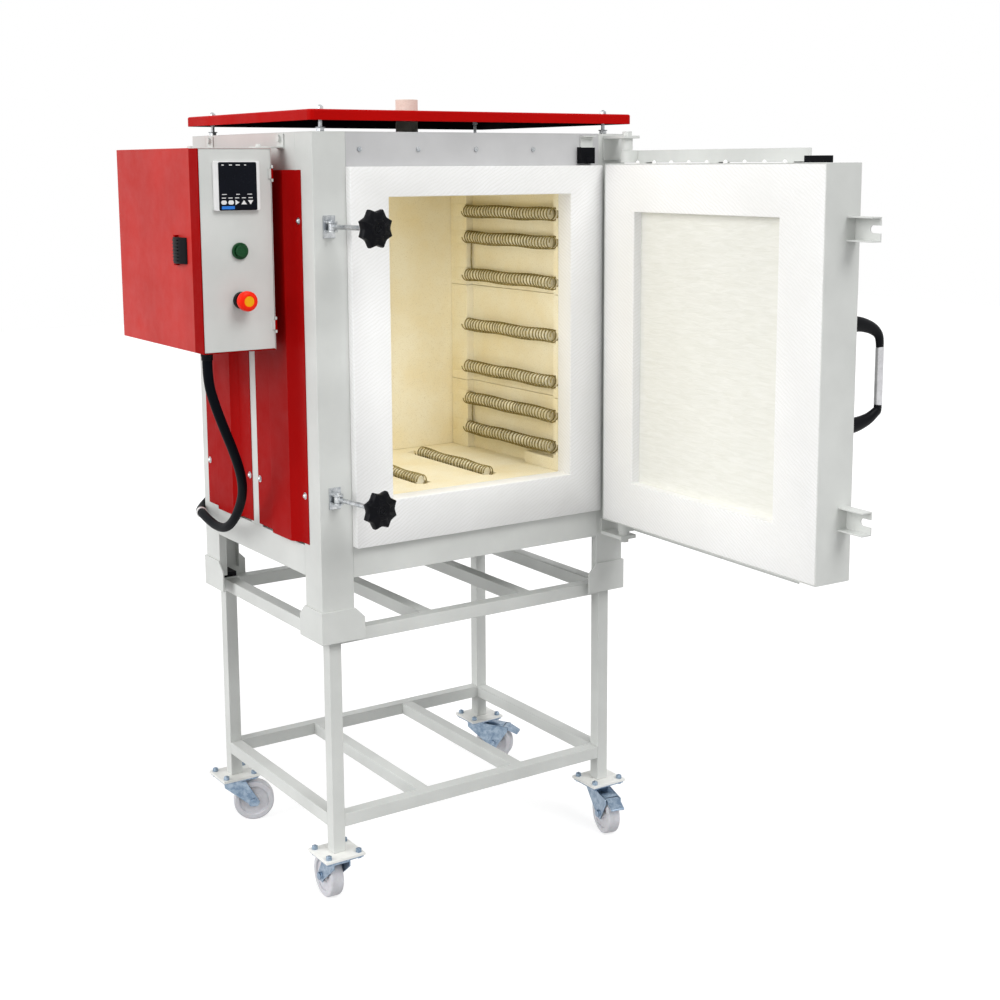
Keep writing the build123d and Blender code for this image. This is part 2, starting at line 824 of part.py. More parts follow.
def door_lug(z):
    web = door_block(door_w, lug_s1, lug_n1 - lug_t, lug_n1, z - lug_half, z + lug_half)
    for side in (-1, 1):
        a = z + side * lug_half
        b = z + side * (lug_half - lug_t)
        web += door_block(door_w, lug_s1, lug_n0, lug_n1, min(a, b), max(a, b))
    web -= door_block(slot_s + slot_half, lug_s1, lug_n1 - lug_t, lug_n1, z - slot_half, z + slot_half)
    return web - round_y(door_x(slot_s + slot_half), z, door_y(lug_n1), door_y(lug_n1 - lug_t), slot_half)


def door_lugs():
    return [door_lug(z) for z in bolt_z]


def door_handle():
    x = door_x(handle_s)
    y_face = door_y(door_t)
    y_bar = y_face - handle_off
    ends = []
    bend = 38
    for z, way in ((handle_z0, 1), (handle_z1, -1)):
        z_foot = z + way * handle_foot_r
        path = FilletPolyline(
            (x, y_face, z_foot),
            (x, y_bar, z_foot),
            (x, y_bar, z_foot + way * 62),
            radius=bend,
        )
        foot = Plane(origin=path @ 0, z_dir=path % 0) * Circle(handle_r + 2)
        ends.append(sweep(foot, path))
    rod = round_z(x, y_bar, handle_z0 + handle_foot_r + 62, handle_z1 - handle_foot_r - 62, handle_r)
    return ends + [rod]


def swung(shape):
    return Pos(hinge_x, hinge_y, 0) * Rot(0, 0, door_open) * Pos(-hinge_x, -hinge_y, 0) * shape


# Swing bolts, drawn pointing along -Y from the pin and then turned by the rest angle

def bolt_frame(z):
    return Pos(bolt_x, bolt_y, z) * Rot(0, 0, bolt_rest)


def eye_bolt(z):
    eye = Cylinder(9, ear_gap - 1)
    rod = round_y(0, 0, -bolt_len, -4, bolt_rod_r)
    bolt = eye + rod - Cylinder(pin_r + running_fit, ear_gap)
    return bolt_frame(z) * bolt


def knob_insert(z):
    hub = round_y(0, 0, -knob_at - 12, -knob_at + 14, 9)
    flange = round_y(0, 0, -knob_at + 15.3, -knob_at + 18, 12)
    step = round_y(0, 0, -knob_at + 14, -knob_at + 15.3, 9)
    bore = round_y(0, 0, -knob_at - 12, -knob_at + 18, bolt_rod_r + running_fit)
    return bolt_frame(z) * (hub + step + flange - bore)


def star_knob(z):
    body = Circle(knob_r)
    for k in range(knob_lobes):
        angle = 2 * pi * (k + 0.5) / knob_lobes
        reach = knob_r + 5
        body -= Pos(reach * cos(angle), reach * sin(angle)) * Circle(10)
    tips = body.vertices()
    body = fillet(tips, 2)
    disc = extrude(body, knob_h / 2, both=True)
    disc = disc + Pos(0, 0, -12) * Cylinder(14, 6)
    disc -= Cylinder(9 + running_fit, 60)
    return bolt_frame(z) * Pos(0, -knob_at, 0) * Rot(90, 0, 0) * disc


# Control box

def box_cover():
    t = sheet
    shell = block(box_x0, box_x1, box_seam, box_y1, box_z0, box_z1)
    return shell - block(box_x0 + t, box_x1 - t, box_seam, box_y1 - t, box_z0 + t, box_z1 - t)


def box_frame():
    t = sheet
    ring = block(box_x0, box_x1, box_y0, box_seam, box_z0, box_z1)
    ring -= block(box_x0 + t, box_x1 - t, box_y0, box_seam, box_z0 + t, box_z1 - t)
    back = block(box_x0 + t, box_x1 - t, box_seam - t, box_seam, box_z0 + t, box_z1 - t)
    back -= block(box_x0 + 12, box_x1 - 12, box_seam - t, box_seam, box_z0 + 12, box_z1 - 12)
    start = hose_route[0]
    return ring + back - round_z(start[0], start[1], box_z0, box_z0 + t, 6)


def box_hangers():
    hangers = []
    for y in (133, 478):
        leg = block(-3, 0, y - 15, y + 15, cabinet_top - top_rail_h - 2, cabinet_top - 3)
        arm = block(-64, -3, y - 15, y + 15, box_z1, box_z1 + 3)
        bolt = round_x(y, 1597, -9, -3, 7)
        screw = round_z(-50, y, box_z1 + 3, box_z1 + 8, 6)
        hangers.append(leg + arm + bolt + screw)
    return hangers


panel_axis_x = box_x1
panel_axis_y = box_y0 - 2


def panel_door():
    t = sheet + panel_gap
    plate = block(box_x0 + t, box_x1 - t, box_y0, box_y0 + panel_t, box_z0 + t, box_z1 - t)
    w = controller_w / 2 - 2
    x0 = controller_x - w
    x1 = controller_x + w
    plate -= block(x0, x1, box_y0, box_y0 + panel_t, controller_z - w, controller_z + w)
    plate -= round_y(control_x, button_z, box_y0, box_y0 + panel_t, 11)
    plate -= round_y(control_x, estop_z, box_y0, box_y0 + panel_t, 11)
    for z in (box_z0 + 40, box_z1 - 60):
        knuckle = round_z(panel_axis_x, panel_axis_y, z, z + 20, 1.9)
        leaf = block(panel_axis_x - 8, panel_axis_x, panel_axis_y - 0.6, panel_axis_y + 0.6, z, z + 20)
        step = block(panel_axis_x - 8, panel_axis_x - t, panel_axis_y - 0.6, box_y0, z, z + 20)
        plate += knuckle + leaf + step
        plate -= round_z(panel_axis_x, panel_axis_y, z, z + 20, 1 + hinge_fit)
    return plate


def panel_hinge():
    halves = []
    for z in (box_z0 + 40, box_z1 - 60):
        pin = round_z(panel_axis_x, panel_axis_y, z - 6, z + 26, 1)
        for low in (z - 6.3, z + 20.3):
            tab = block(panel_axis_x - 0.6, panel_axis_x + 1.6, panel_axis_y, box_y0 + 8, low, low + 6)
            tab -= block(panel_axis_x - 3, panel_axis_x, box_y0, box_y0 + 9, low, low + 6)
            pin += tab
            pin += round_z(panel_axis_x, panel_axis_y, low, low + 6, 2.2)
        halves.append(pin)
    return halves


def panel_fittings():
    ring = round_y(control_x, button_z, box_y0 - 6, box_y0, 16.5)
    ring -= round_y(control_x, button_z, box_y0 - 6, box_y0, 12.3)
    neck = round_y(control_x, button_z, box_y0, box_y0 + 34, 10.9)
    neck -= round_y(control_x, button_z, box_y0, box_y0 + 10, 9.3)
    collar = round_y(control_x, estop_z, box_y0 - 12, box_y0, 17)
    barrel = round_y(control_x, estop_z, box_y0, box_y0 + 40, 10.9)
    stop = collar + barrel - round_y(control_x, estop_z, box_y0 - 12, box_y0 + 10, 8.3)
    return [ring + neck, stop]


def controller():
    w = controller_w / 2
    x = controller_x
    z = controller_z
    bezel = block(x - w, x + w, box_y0 - controller_rise, box_y0, z - w, z + w)
    bezel = fillet(bezel.edges().filter_by(Axis.Y), 4)
    b = w - 3
    return bezel + block(x - b, x + b, box_y0, box_y0 + controller_deep, z - b, z + b)


def start_button():
    cap = round_y(control_x, button_z, box_y0 - 11, box_y0 - 6.5, 12)
    return cap + round_y(control_x, button_z, box_y0 - 6.5, box_y0 + 5, 9)


def estop_head():
    head = round_y(control_x, estop_z, box_y0 - 40, box_y0 - 20, 20)
    head = fillet(head.edges().filter_by(GeomType.CIRCLE), 4)
    return head + round_y(control_x, estop_z, box_y0 - 20, box_y0 + 4, 8)


def box_catch():
    x = box_x0
    outline = [(x - 0.4, catch_y0), (x - 5, catch_y0 + 4), (x - 11, catch_y0 + 18), (x - 12, catch_y1 - 12)]
    outline += [(x - 7, catch_y1 - 3), (x - 3, catch_y1 - 4), (x - 0.6, catch_y1 - 12)]
    catch = prism_z(outline, catch_z0, catch_z1)
    return catch - round_z(x - 5, catch_y1 - 9, catch_z0, catch_z1, 2 + running_fit)


def catch_pin():
    x = box_x0 - 5
    y = catch_y1 - 9
    pin = round_z(x, y, catch_z0 - 4, catch_z1 + 4, 2)
    for low in (catch_z0 - 4, catch_z1 + 0.4):
        pin += block(box_x0 - 8, box_x0, y - 5, y + 5, low, low + 3.6)
    return pin


def box_electrics():
    wall = box_y1 - sheet
    plate = block(box_x0 + 20, box_x1 - 20, wall - 22, wall, box_z0 + 30, box_z1 - 30)
    rail = block(box_x0 + 24, box_x1 - 24, wall - 30, wall - 22, 1440, 1475)
    units = [block(x, x + 34, wall - 100, wall - 30, 1415, 1500) for x in (-170, -133, -96)]
    fuse = block(-160, -76, wall - 80, wall - 22, 1260, 1330)
    return [plate, rail] + units + [fuse]


# Conduit hose

def hose_corner(a, b, c):
    before = Vector(*b) - Vector(*a)
    after = Vector(*c) - Vector(*b)
    turn = radians(before.get_angle(after))
    radius = 0.45 * min(before.length, after.length) / tan(turn / 2)
    return degrees(turn), radius


def conduit_hose():
    corners = [hose_corner(*hose_route[k : k + 3]) for k in range(len(hose_route) - 2)]
    runs = [(Vector(*b) - Vector(*a)).length for a, b in zip(hose_route, hose_route[1:])]
    print("hose runs", [round(run) for run in runs])
    print("hose turns and radii", [(round(turn), round(radius)) for turn, radius in corners])
    path = FilletPolyline(*hose_route, radius=[radius for turn, radius in corners])
    profile = Plane(origin=path @ 0, z_dir=path % 0) * Circle(hose_r)
    hose = sweep(profile, path)
    print(f"hose length {path.length:.0f}, volume ratio {hose.volume / (pi * hose_r**2 * path.length):.4f}")
    return hose


def gland(start, heading, length):
    plane = Plane(origin=start, z_dir=heading)
    nut = plane * extrude(RegularPolygon(hose_r + 3, 6), length * 0.4)
    collar = plane * Pos(0, 0, length * 0.7) * Cylinder(hose_r + 1.5, length * 0.6)
    return nut + collar


def hose_glands():
    first = Vector(*hose_route[0])
    top = gland((first.X, first.Y, box_z0), (0, 0, -1), box_z0 - first.Z)
    last = Vector(*hose_route[-1])
    end = gland((cover_x0, last.Y, last.Z), (-1, 0, 0), cover_x0 - last.X)
    return [top, end]


nodes = {
    "stand_legs": stand_legs(),
    "stand_rails": stand_rails(),
    "corner_sockets": corner_sockets(),
    "body_feet": body_feet(),
    "foot_plates": foot_plates(),
    "castor_plates": castor_plates(),
    "fasteners": foot_bolts() + small_screws(),
    "corner_posts": corner_posts(),
    "body_rails": body_rails(),
    "side_panels": side_panels(),
    "rear_panel": rear_panel(),
    "rear_cover": rear_cover(),
    "header_plate": header_plate(),
    "roof_cover": roof_cover(),
    "roof_studs": roof_studs(),
    "vent_tube": vent_tube(),
    "fibre_collar": fibre_collar(),
    "lining_floor": lining_floor(),
    "lining_walls": lining_walls(),
    "lining_roof": lining_roof(),
    "backup_insulation": backup_insulation(),
    "element_tubes": element_tubes(),
    "heating_coils": heating_coils(),
    "left_windings": left_windings(),
    "thermocouple": thermocouple(),
    "door_switch": door_switch(),
    "front_brackets": front_brackets(),
    "box_cover": box_cover(),
    "box_frame": [box_frame()] + panel_hinge() + [catch_pin()],
    "box_hangers": box_hangers(),
    "box_electrics": box_electrics(),
    "hose_glands": hose_glands(),
    "conduit_hose": conduit_hose(),
    "door_shell": swung(door_shell()),
    "door_fibre": swung(door_fibre()),
    "hinge_arms": [swung(one) for one in hinge_arms()],
    "door_lugs": [swung(one) for one in door_lugs()],
    "door_handle": [swung(one) for one in door_handle()],
    "panel_door": panel_door(),
    "panel_fittings": panel_fittings(),
    "controller": controller(),
    "start_button": start_button(),
    "estop_head": estop_head(),
    "box_catch": box_catch(),
}
for level, z in zip(("lower", "upper"), bolt_z):
    nodes[f"eye_bolt_{level}"] = eye_bolt(z)
    nodes[f"knob_insert_{level}"] = knob_insert(z)
    nodes[f"star_knob_{level}"] = star_knob(z)
for name in castor_turns:
    nodes[f"castor_fork_{name}"] = castor_place(name) * castor_fork(name in braked)
    nodes[f"castor_wheel_{name}"] = castor_place(name) * castor_wheel()
    if name in braked:
        nodes[f"brake_pedal_{name}"] = castor_place(name) * brake_pedal()

shapes = {}
for name, made in nodes.items():
    solids = []
    for one in made if isinstance(made, list) else [made]:
        solids += one.solids()
    shapes[name] = solids

rigid = [solid for name, solids in shapes.items() if name != "conduit_hose" for solid in solids]
reach = Compound(children=rigid).bounding_box()
origin = Vector((reach.min.X + reach.max.X) / 2, (reach.min.Y + reach.max.Y) / 2, 0)
print("box", reach.min, reach.max, "origin", origin)

for name, solids in shapes.items():
    moved = [Pos(-origin.X, -origin.Y, 0) * solid for solid in solids]
    export_step(Compound(children=moved), f"parts/{name}.step")
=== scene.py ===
import json
from math import pi, radians, sin, sqrt

import bpy
from mathutils import Matrix, Vector

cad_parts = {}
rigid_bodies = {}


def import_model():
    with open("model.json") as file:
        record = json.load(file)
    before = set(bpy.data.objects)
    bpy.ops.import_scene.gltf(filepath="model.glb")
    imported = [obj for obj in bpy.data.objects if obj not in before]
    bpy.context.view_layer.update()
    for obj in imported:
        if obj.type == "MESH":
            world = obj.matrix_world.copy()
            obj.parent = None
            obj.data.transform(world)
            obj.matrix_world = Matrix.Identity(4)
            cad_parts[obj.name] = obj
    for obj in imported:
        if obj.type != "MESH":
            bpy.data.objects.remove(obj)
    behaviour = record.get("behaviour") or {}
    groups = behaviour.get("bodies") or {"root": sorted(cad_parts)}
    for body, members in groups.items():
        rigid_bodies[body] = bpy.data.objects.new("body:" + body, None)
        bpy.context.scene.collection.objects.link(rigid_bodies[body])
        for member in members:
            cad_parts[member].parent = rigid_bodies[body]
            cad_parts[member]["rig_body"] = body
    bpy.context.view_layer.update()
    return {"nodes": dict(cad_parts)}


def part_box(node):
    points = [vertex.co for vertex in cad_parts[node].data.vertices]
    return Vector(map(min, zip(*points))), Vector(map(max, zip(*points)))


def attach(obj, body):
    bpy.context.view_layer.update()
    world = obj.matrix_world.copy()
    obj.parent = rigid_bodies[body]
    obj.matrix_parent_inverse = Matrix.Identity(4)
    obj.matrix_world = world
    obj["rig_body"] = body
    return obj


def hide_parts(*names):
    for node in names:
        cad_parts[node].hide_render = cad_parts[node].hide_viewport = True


# A front-loading ceramic kiln on a castored stand, its door open.
# Places below are in millimetres in the kiln's own frame: x = 0 is the cabinet's
# left face, y = 0 its front face and z = 0 the floor.

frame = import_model()
nodes = frame["nodes"]
MM = 0.001
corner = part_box("corner_posts")[0]


def at(x, y, z):
    return Vector((corner.x + x * MM, corner.y + y * MM, z * MM))


def kiln_mm(point):
    return Vector(((point.x - corner.x) / MM, (point.y - corner.y) / MM, point.z / MM))


def place_at(x, y, z):
    return Matrix.Translation(at(x, y, z))


# Camera, turned and framed as the photograph

EYE = (-1384.69, -2708.2, 1543.28)
EYE_TURN = (80.958, 0.253, -34.004)
FOCAL = 1.5427
SHIFT = (-0.0018, -0.0898)

bpy.ops.object.select_all(action="DESELECT")
bpy.ops.object.camera_add(location=at(*EYE), rotation=[radians(turn) for turn in EYE_TURN])
camera = bpy.context.object
camera.name = "camera"
camera.data.sensor_width = 36
camera.data.lens = 36 * FOCAL
camera.data.shift_x = SHIFT[0]
camera.data.shift_y = SHIFT[1]
camera.data.clip_end = 60
bpy.context.scene.camera = camera

# Finishes


def srgb(red, green, blue):
    values = []
    for part in (red, green, blue):
        part = part / 255
        values.append(part / 12.92 if part <= 0.04045 else ((part + 0.055) / 1.055) ** 2.4)
    return (values[0], values[1], values[2], 1.0)


class Finish:
    """A node material under construction, with its shader and object coordinates."""

    def __init__(self, name):
        self.material = bpy.data.materials.new(name)
        self.material.use_nodes = True
        self.tree = self.material.node_tree
        self.shader = self.tree.nodes["Principled BSDF"]
        self.coords = self.add("ShaderNodeTexCoord").outputs["Object"]
        self.height = None

    def add(self, kind, **values):
        node = self.tree.nodes.new(kind)
        for key, value in values.items():
            setattr(node, key, value)
        return node

    def join(self, output, target):
        self.tree.links.new(output, target)

    def stretched(self, scale):
        mapping = self.add("ShaderNodeMapping")
        mapping.inputs["Scale"].default_value = scale
        self.join(self.coords, mapping.inputs["Vector"])
        return mapping.outputs["Vector"]

    def noise(self, size, detail=3, roughness=0.5, vector=None, distortion=0.0):
        node = self.add("ShaderNodeTexNoise")
        node.inputs["Scale"].default_value = 1 / (size * MM)
        node.inputs["Detail"].default_value = detail
        node.inputs["Roughness"].default_value = roughness
        node.inputs["Distortion"].default_value = distortion
        self.join(vector or self.coords, node.inputs["Vector"])
        return node.outputs["Fac"]

    def ramp(self, value, low, high, start=0.0, end=1.0):
        node = self.add("ShaderNodeMapRange")
        node.inputs["From Min"].default_value = low
        node.inputs["From Max"].default_value = high
        node.inputs["To Min"].default_value = start
        node.inputs["To Max"].default_value = end
        self.join(value, node.inputs["Value"])
        return node.outputs["Result"]

    def math(self, operation, first, second):
        node = self.add("ShaderNodeMath", operation=operation)
        for socket, value in zip(node.inputs, (first, second)):
            if isinstance(value, (int, float)):
                socket.default_value = value
            else:
                self.join(value, socket)
        return node.outputs["Value"]

    def blend(self, factor, first, second):
        node = self.add("ShaderNodeMix", data_type="RGBA")
        self.join(factor, node.inputs[0])
        for socket, value in ((node.inputs[6], first), (node.inputs[7], second)):
            if isinstance(value, tuple):
                socket.default_value = value
            else:
                self.join(value, socket)
        return node.outputs[2]

    def colour(self, output):
        self.join(output, self.shader.inputs["Base Color"])

    def roughness(self, output):
        self.join(output, self.shader.inputs["Roughness"])

    def bump(self, value, depth, strength=1.0):
        node = self.add("ShaderNodeBump")
        node.inputs["Distance"].default_value = depth * MM
        node.inputs["Strength"].default_value = strength
        self.join(value, node.inputs["Height"])
        if self.height:
            self.join(self.height, node.inputs["Normal"])
        self.height = node.outputs["Normal"]
        self.join(self.height, self.shader.inputs["Normal"])

    def constant(self, **values):
        for key, value in values.items():
            self.shader.inputs[key.replace("_", " ")].default_value = value


def lighter(colour, factor):
    return tuple(min(1.0, part * factor) for part in colour[:3]) + (1.0,)


def powder_coat(name, colour, gloss=0.38, mottle=0.06, shine=0.3):
    """Oven-baked paint: faint orange peel, handling marks and slightly uneven sheen."""
    paint = Finish(name)
    patches = paint.noise(140, detail=4)
    shade = paint.ramp(patches, 0.35, 0.68)
    paint.colour(paint.blend(shade, lighter(colour, 1 - mottle), lighter(colour, 1 + mottle)))
    smears = paint.noise(38, detail=5, roughness=0.62)
    paint.roughness(paint.ramp(smears, 0.3, 0.75, gloss - 0.05, gloss + 0.12))
    paint.bump(paint.noise(1.6, detail=2), 0.05, 0.35)
    paint.bump(paint.noise(60, detail=2), 0.5, 0.10)
    paint.constant(Specular_IOR_Level=shine)
    return paint.material


def bare_metal(name, colour, tint, gloss=0.32, brushed=None):
    """Plated or bright metal with cloudy tint and fine scratches."""
    metal = Finish(name)
    clouds = metal.noise(11, detail=4, roughness=0.6)
    metal.colour(metal.blend(metal.ramp(clouds, 0.36, 0.64), colour, tint))
    vector = metal.stretched(brushed) if brushed else None
    scratches = metal.noise(1.3, detail=5, roughness=0.7, vector=vector)
    metal.roughness(metal.ramp(scratches, 0.3, 0.7, gloss - 0.08, gloss + 0.14))
    metal.bump(scratches, 0.04, 0.3)
    metal.constant(Metallic=1.0)
    return metal.material


def moulded(name, colour, gloss=0.35, mottle=0.10, texture=0.5, shine=0.5):
    """Moulded plastic or rubber with a slight spark-eroded grain."""
    plastic = Finish(name)
    clouds = plastic.noise(26, detail=3)
    shade = plastic.ramp(clouds, 0.35, 0.65)
    plastic.colour(plastic.blend(shade, lighter(colour, 1 - mottle), lighter(colour, 1 + mottle)))
    grain = plastic.noise(texture, detail=3)
    plastic.roughness(plastic.ramp(grain, 0.3, 0.7, gloss - 0.05, gloss + 0.10))
    plastic.bump(grain, 0.05, 0.4)
    plastic.constant(Specular_IOR_Level=shine)
    return plastic.material


def woven_blanket(name):
    """White ceramic fibre cloth: slanted ribs about 7 mm apart, crossed by fine threads."""
    cloth = Finish(name)
    slanted = cloth.stretched((1.0, 1.0, -1.7))
    warped = cloth.add("ShaderNodeVectorMath", operation="ADD")
    drift = cloth.add("ShaderNodeTexNoise")
    drift.inputs["Scale"].default_value = 34
    drift.inputs["Detail"].default_value = 2
    small = cloth.add("ShaderNodeVectorMath", operation="SCALE")
    small.inputs["Scale"].default_value = 0.011
    cloth.join(cloth.coords, drift.inputs["Vector"])
    cloth.join(drift.outputs["Color"], small.inputs[0])
    cloth.join(slanted, warped.inputs[0])
    cloth.join(small.outputs[0], warped.inputs[1])
    ribs = cloth.add("ShaderNodeTexWave", wave_type="BANDS", bands_direction="DIAGONAL")
    ribs.inputs["Scale"].default_value = 46
    ribs.inputs["Distortion"].default_value = 2.2
    ribs.inputs["Detail"].default_value = 2
    cloth.join(warped.outputs[0], ribs.inputs["Vector"])
    crossing = cloth.stretched((1.0, 1.0, 1.1))
    threads = cloth.add("ShaderNodeTexWave", wave_type="BANDS", bands_direction="DIAGONAL")
    threads.inputs["Scale"].default_value = 105
    threads.inputs["Distortion"].default_value = 1.5
    cloth.join(crossing, threads.inputs["Vector"])
    fluff = cloth.noise(2.2, detail=5, roughness=0.65)
    weave = cloth.math("ADD", ribs.outputs["Fac"], cloth.math("MULTIPLY", threads.outputs["Fac"], 0.35))
    weave = cloth.math("ADD", weave, cloth.math("MULTIPLY", fluff, 1.1))
    shade = cloth.ramp(weave, 0.45, 1.6)
    patches = cloth.ramp(cloth.noise(170, detail=3), 0.35, 0.68)
    bright = cloth.blend(patches, srgb(243, 243, 242), srgb(249, 249, 249))
    cloth.colour(cloth.blend(shade, srgb(238, 238, 236), bright))
    cloth.bump(cloth.noise(55, detail=3), 5, 0.30)
    cloth.bump(weave, 1.0, 0.17)
    cloth.constant(Roughness=0.93, Specular_IOR_Level=0.2, Sheen_Weight=0.15, Sheen_Roughness=0.6)
    return cloth.material


def fibre_board(name, colour, dark):
    """Vacuum-formed fibre board, combed in long wavy level streaks."""
    board = Finish(name)
    level = board.stretched((0.16, 0.16, 1.0))
    streaks = board.noise(7, detail=5, roughness=0.6, vector=level, distortion=0.7)
    shade = board.ramp(streaks, 0.3, 0.72)
    board.colour(board.blend(shade, dark, colour))
    board.bump(streaks, 1.6, 0.5)
    board.bump(board.noise(1.5, detail=4), 0.4, 0.4)
    board.constant(Roughness=0.95, Specular_IOR_Level=0.15)
    return board.material


def insulating_brick(name, colour, stain):
    """Light firebrick: fine open pores, crumbs and faint tan firing stains."""
    brick = Finish(name)
    cloud = brick.ramp(brick.noise(120, detail=5, roughness=0.6), 0.38, 0.72)
    body = brick.blend(cloud, colour, stain)
    pores = brick.noise(2.4, detail=6, roughness=0.72)
    specks = brick.ramp(pores, 0.30, 0.46)
    brick.colour(brick.blend(specks, lighter(stain, 0.80), body))
    brick.bump(pores, 0.8, 0.5)
    brick.bump(brick.noise(26, detail=3), 1.4, 0.3)
    brick.constant(Roughness=0.95, Specular_IOR_Level=0.15)
    return brick.material


def oxidised_wire(name):
    wire = Finish(name)
    scale = wire.noise(4, detail=4, roughness=0.6)
    wire.colour(wire.blend(wire.ramp(scale, 0.35, 0.65), srgb(112, 98, 50), srgb(176, 160, 104)))
    wire.bump(wire.noise(1.1, detail=3), 0.1, 0.4)
    wire.constant(Metallic=0.25, Roughness=0.52)
    return wire.material


def nylon(name):
    """Cast white nylon, a little translucent, scuffed along the tread."""
    tyre = Finish(name)
    scuffs = tyre.noise(12, detail=4, roughness=0.55)
    shade = tyre.ramp(scuffs, 0.42, 0.70)
    tyre.colour(tyre.blend(shade, srgb(208, 208, 213), srgb(198, 197, 201)))
    tyre.bump(scuffs, 0.2, 0.3)
    tyre.constant(Roughness=0.42, Subsurface_Weight=0.05, Subsurface_Scale=0.004)
    return tyre.material


GREY = powder_coat("light grey powder coat", srgb(212, 214, 211))
HEADER = powder_coat("lilac grey sheet", srgb(196, 196, 197), gloss=0.34, mottle=0.07)
ROOF_RED = powder_coat("bright red roof coat", srgb(182, 5, 3), gloss=0.42, mottle=0.06, shine=0.05)
RED = powder_coat("red powder coat", srgb(160, 3, 3), gloss=0.45, mottle=0.06, shine=0.05)
# The box cover's red is paler and lighter than the other reds: red paint with a painted sheen of
# reflected light mixed into its colour.
COVER_RED_WITH_SHEEN = powder_coat("box red with painted sheen", srgb(192, 40, 34), gloss=0.42, mottle=0.07, shine=0.16)
DEEP_RED = powder_coat("deep red powder coat", srgb(154, 2, 2), gloss=0.55, mottle=0.05, shine=0.03)
CREAM = powder_coat("cream painted plate", srgb(240, 240, 236), gloss=0.42)
ZINC = bare_metal("blue zinc plate", srgb(160, 176, 192), srgb(116, 136, 158), gloss=0.30)
STEEL = bare_metal("bright steel", srgb(208, 210, 211), srgb(158, 163, 168), gloss=0.26)
SILVER = bare_metal("satin aluminium tube", srgb(206, 206, 208), srgb(190, 190, 192), 0.34, (1, 1, 0.05))
BRASS = bare_metal("brass bush", srgb(190, 160, 90), srgb(170, 140, 74), gloss=0.35)
CLOTH = woven_blanket("woven ceramic fibre")
BOARD = fibre_board("combed fibre board", srgb(238, 238, 232), srgb(229, 229, 221))
BRICK = insulating_brick("insulating firebrick", srgb(252, 245, 220), srgb(247, 234, 196))
WOOL = insulating_brick("packed fibre wool", srgb(236, 232, 222), srgb(222, 214, 198))
TUBE = insulating_brick("ceramic element tube", srgb(253, 248, 226), srgb(248, 238, 206))
WIRE = oxidised_wire("oxidised heating wire")
RUBBER = moulded("black rubber hose", srgb(5, 8, 14), gloss=0.5, texture=1.4, shine=0.05)
PLASTIC = moulded("black moulded plastic", srgb(5, 6, 11), gloss=0.36, shine=0.09)
GLASS = moulded("black instrument face", srgb(10, 13, 22), gloss=0.20, texture=6, shine=0.08)
BEZEL = moulded("white instrument bezel", srgb(236, 236, 236), gloss=0.36, mottle=0.03)
GREEN = moulded("green button cap", srgb(14, 70, 34), gloss=0.26, shine=0.2)
SIGNAL_RED = moulded("signal red mushroom", srgb(252, 38, 10), gloss=0.30, mottle=0.04, shine=0.12)
YELLOW = moulded("yellow inset disc", srgb(246, 172, 16), gloss=0.35, mottle=0.05, shine=0.12)
MARK = moulded("white printed marks", srgb(232, 232, 232), gloss=0.5, mottle=0.02)
BLUE = moulded("plain blue bar", srgb(16, 118, 216), gloss=0.4, mottle=0.03)
NYLON = nylon("white nylon wheel")
# Near-black finish that paints the shade under the roof cover: its underside and the inward faces of its
# lip.
ROOF_PAINTED_SHADE = powder_coat("painted shade under the roof", srgb(24, 20, 22), gloss=0.6, shine=0.05)

# Ways of working


def only(piece):
    bpy.ops.object.select_all(action="DESELECT")
    piece.select_set(True)
    bpy.context.view_layer.objects.active = piece


def edit(piece, select=True):
    only(piece)
    bpy.ops.object.mode_set(mode="EDIT")
    bpy.ops.mesh.select_all(action="SELECT" if select else "DESELECT")


def leave_edit():
    bpy.ops.object.mode_set(mode="OBJECT")


def apply_all(piece):
    only(piece)
    for modifier in list(piece.modifiers):
        bpy.ops.object.modifier_apply(modifier=modifier.name)


def bevelled(piece, width, segments=2, angle=35):
    bevel = piece.modifiers.new("edges", "BEVEL")
    bevel.width = width * MM
    bevel.segments = segments
    bevel.limit_method = "ANGLE"
    bevel.angle_limit = radians(angle)
    bevel.use_clamp_overlap = False
    apply_all(piece)


def smoothed(piece, angle=35):
    only(piece)
    bpy.ops.object.shade_smooth_by_angle(angle=radians(angle))


def flat_faces_true(piece):
    """Keep the shading of broad faces flat right up to their rounded edges."""
    weighted = piece.modifiers.new("flat faces", "WEIGHTED_NORMAL")
    weighted.keep_sharp = True
    weighted.weight = 80
    apply_all(piece)


def placed(piece, place=None):
    """Put a piece in its place and leave its object at the origin."""
    if place is not None:
        piece.matrix_world = place
    only(piece)
    bpy.ops.object.transform_apply(location=True, rotation=True, scale=True)
    return piece


def settle(piece, name, body, surface, place=None):
    """Put a finished piece in its place, with its finish, on the body it rides on."""
    placed(piece, place)
    piece.name = name
    piece.data.name = name
    if not piece.data.materials:
        piece.data.materials.append(surface)
    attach(piece, body)
    return piece


def joined(pieces):
    only(pieces[0])
    for piece in pieces[1:]:
        piece.select_set(True)
    bpy.ops.object.join()
    return bpy.context.object


def two_tone(piece, second, test):
    """Give the faces that pass the test the second finish."""
    piece.data.materials.append(second)
    index = len(piece.data.materials) - 1
    for face in piece.data.polygons:
        if test(kiln_mm(face.center), face.normal):
            face.material_index = index


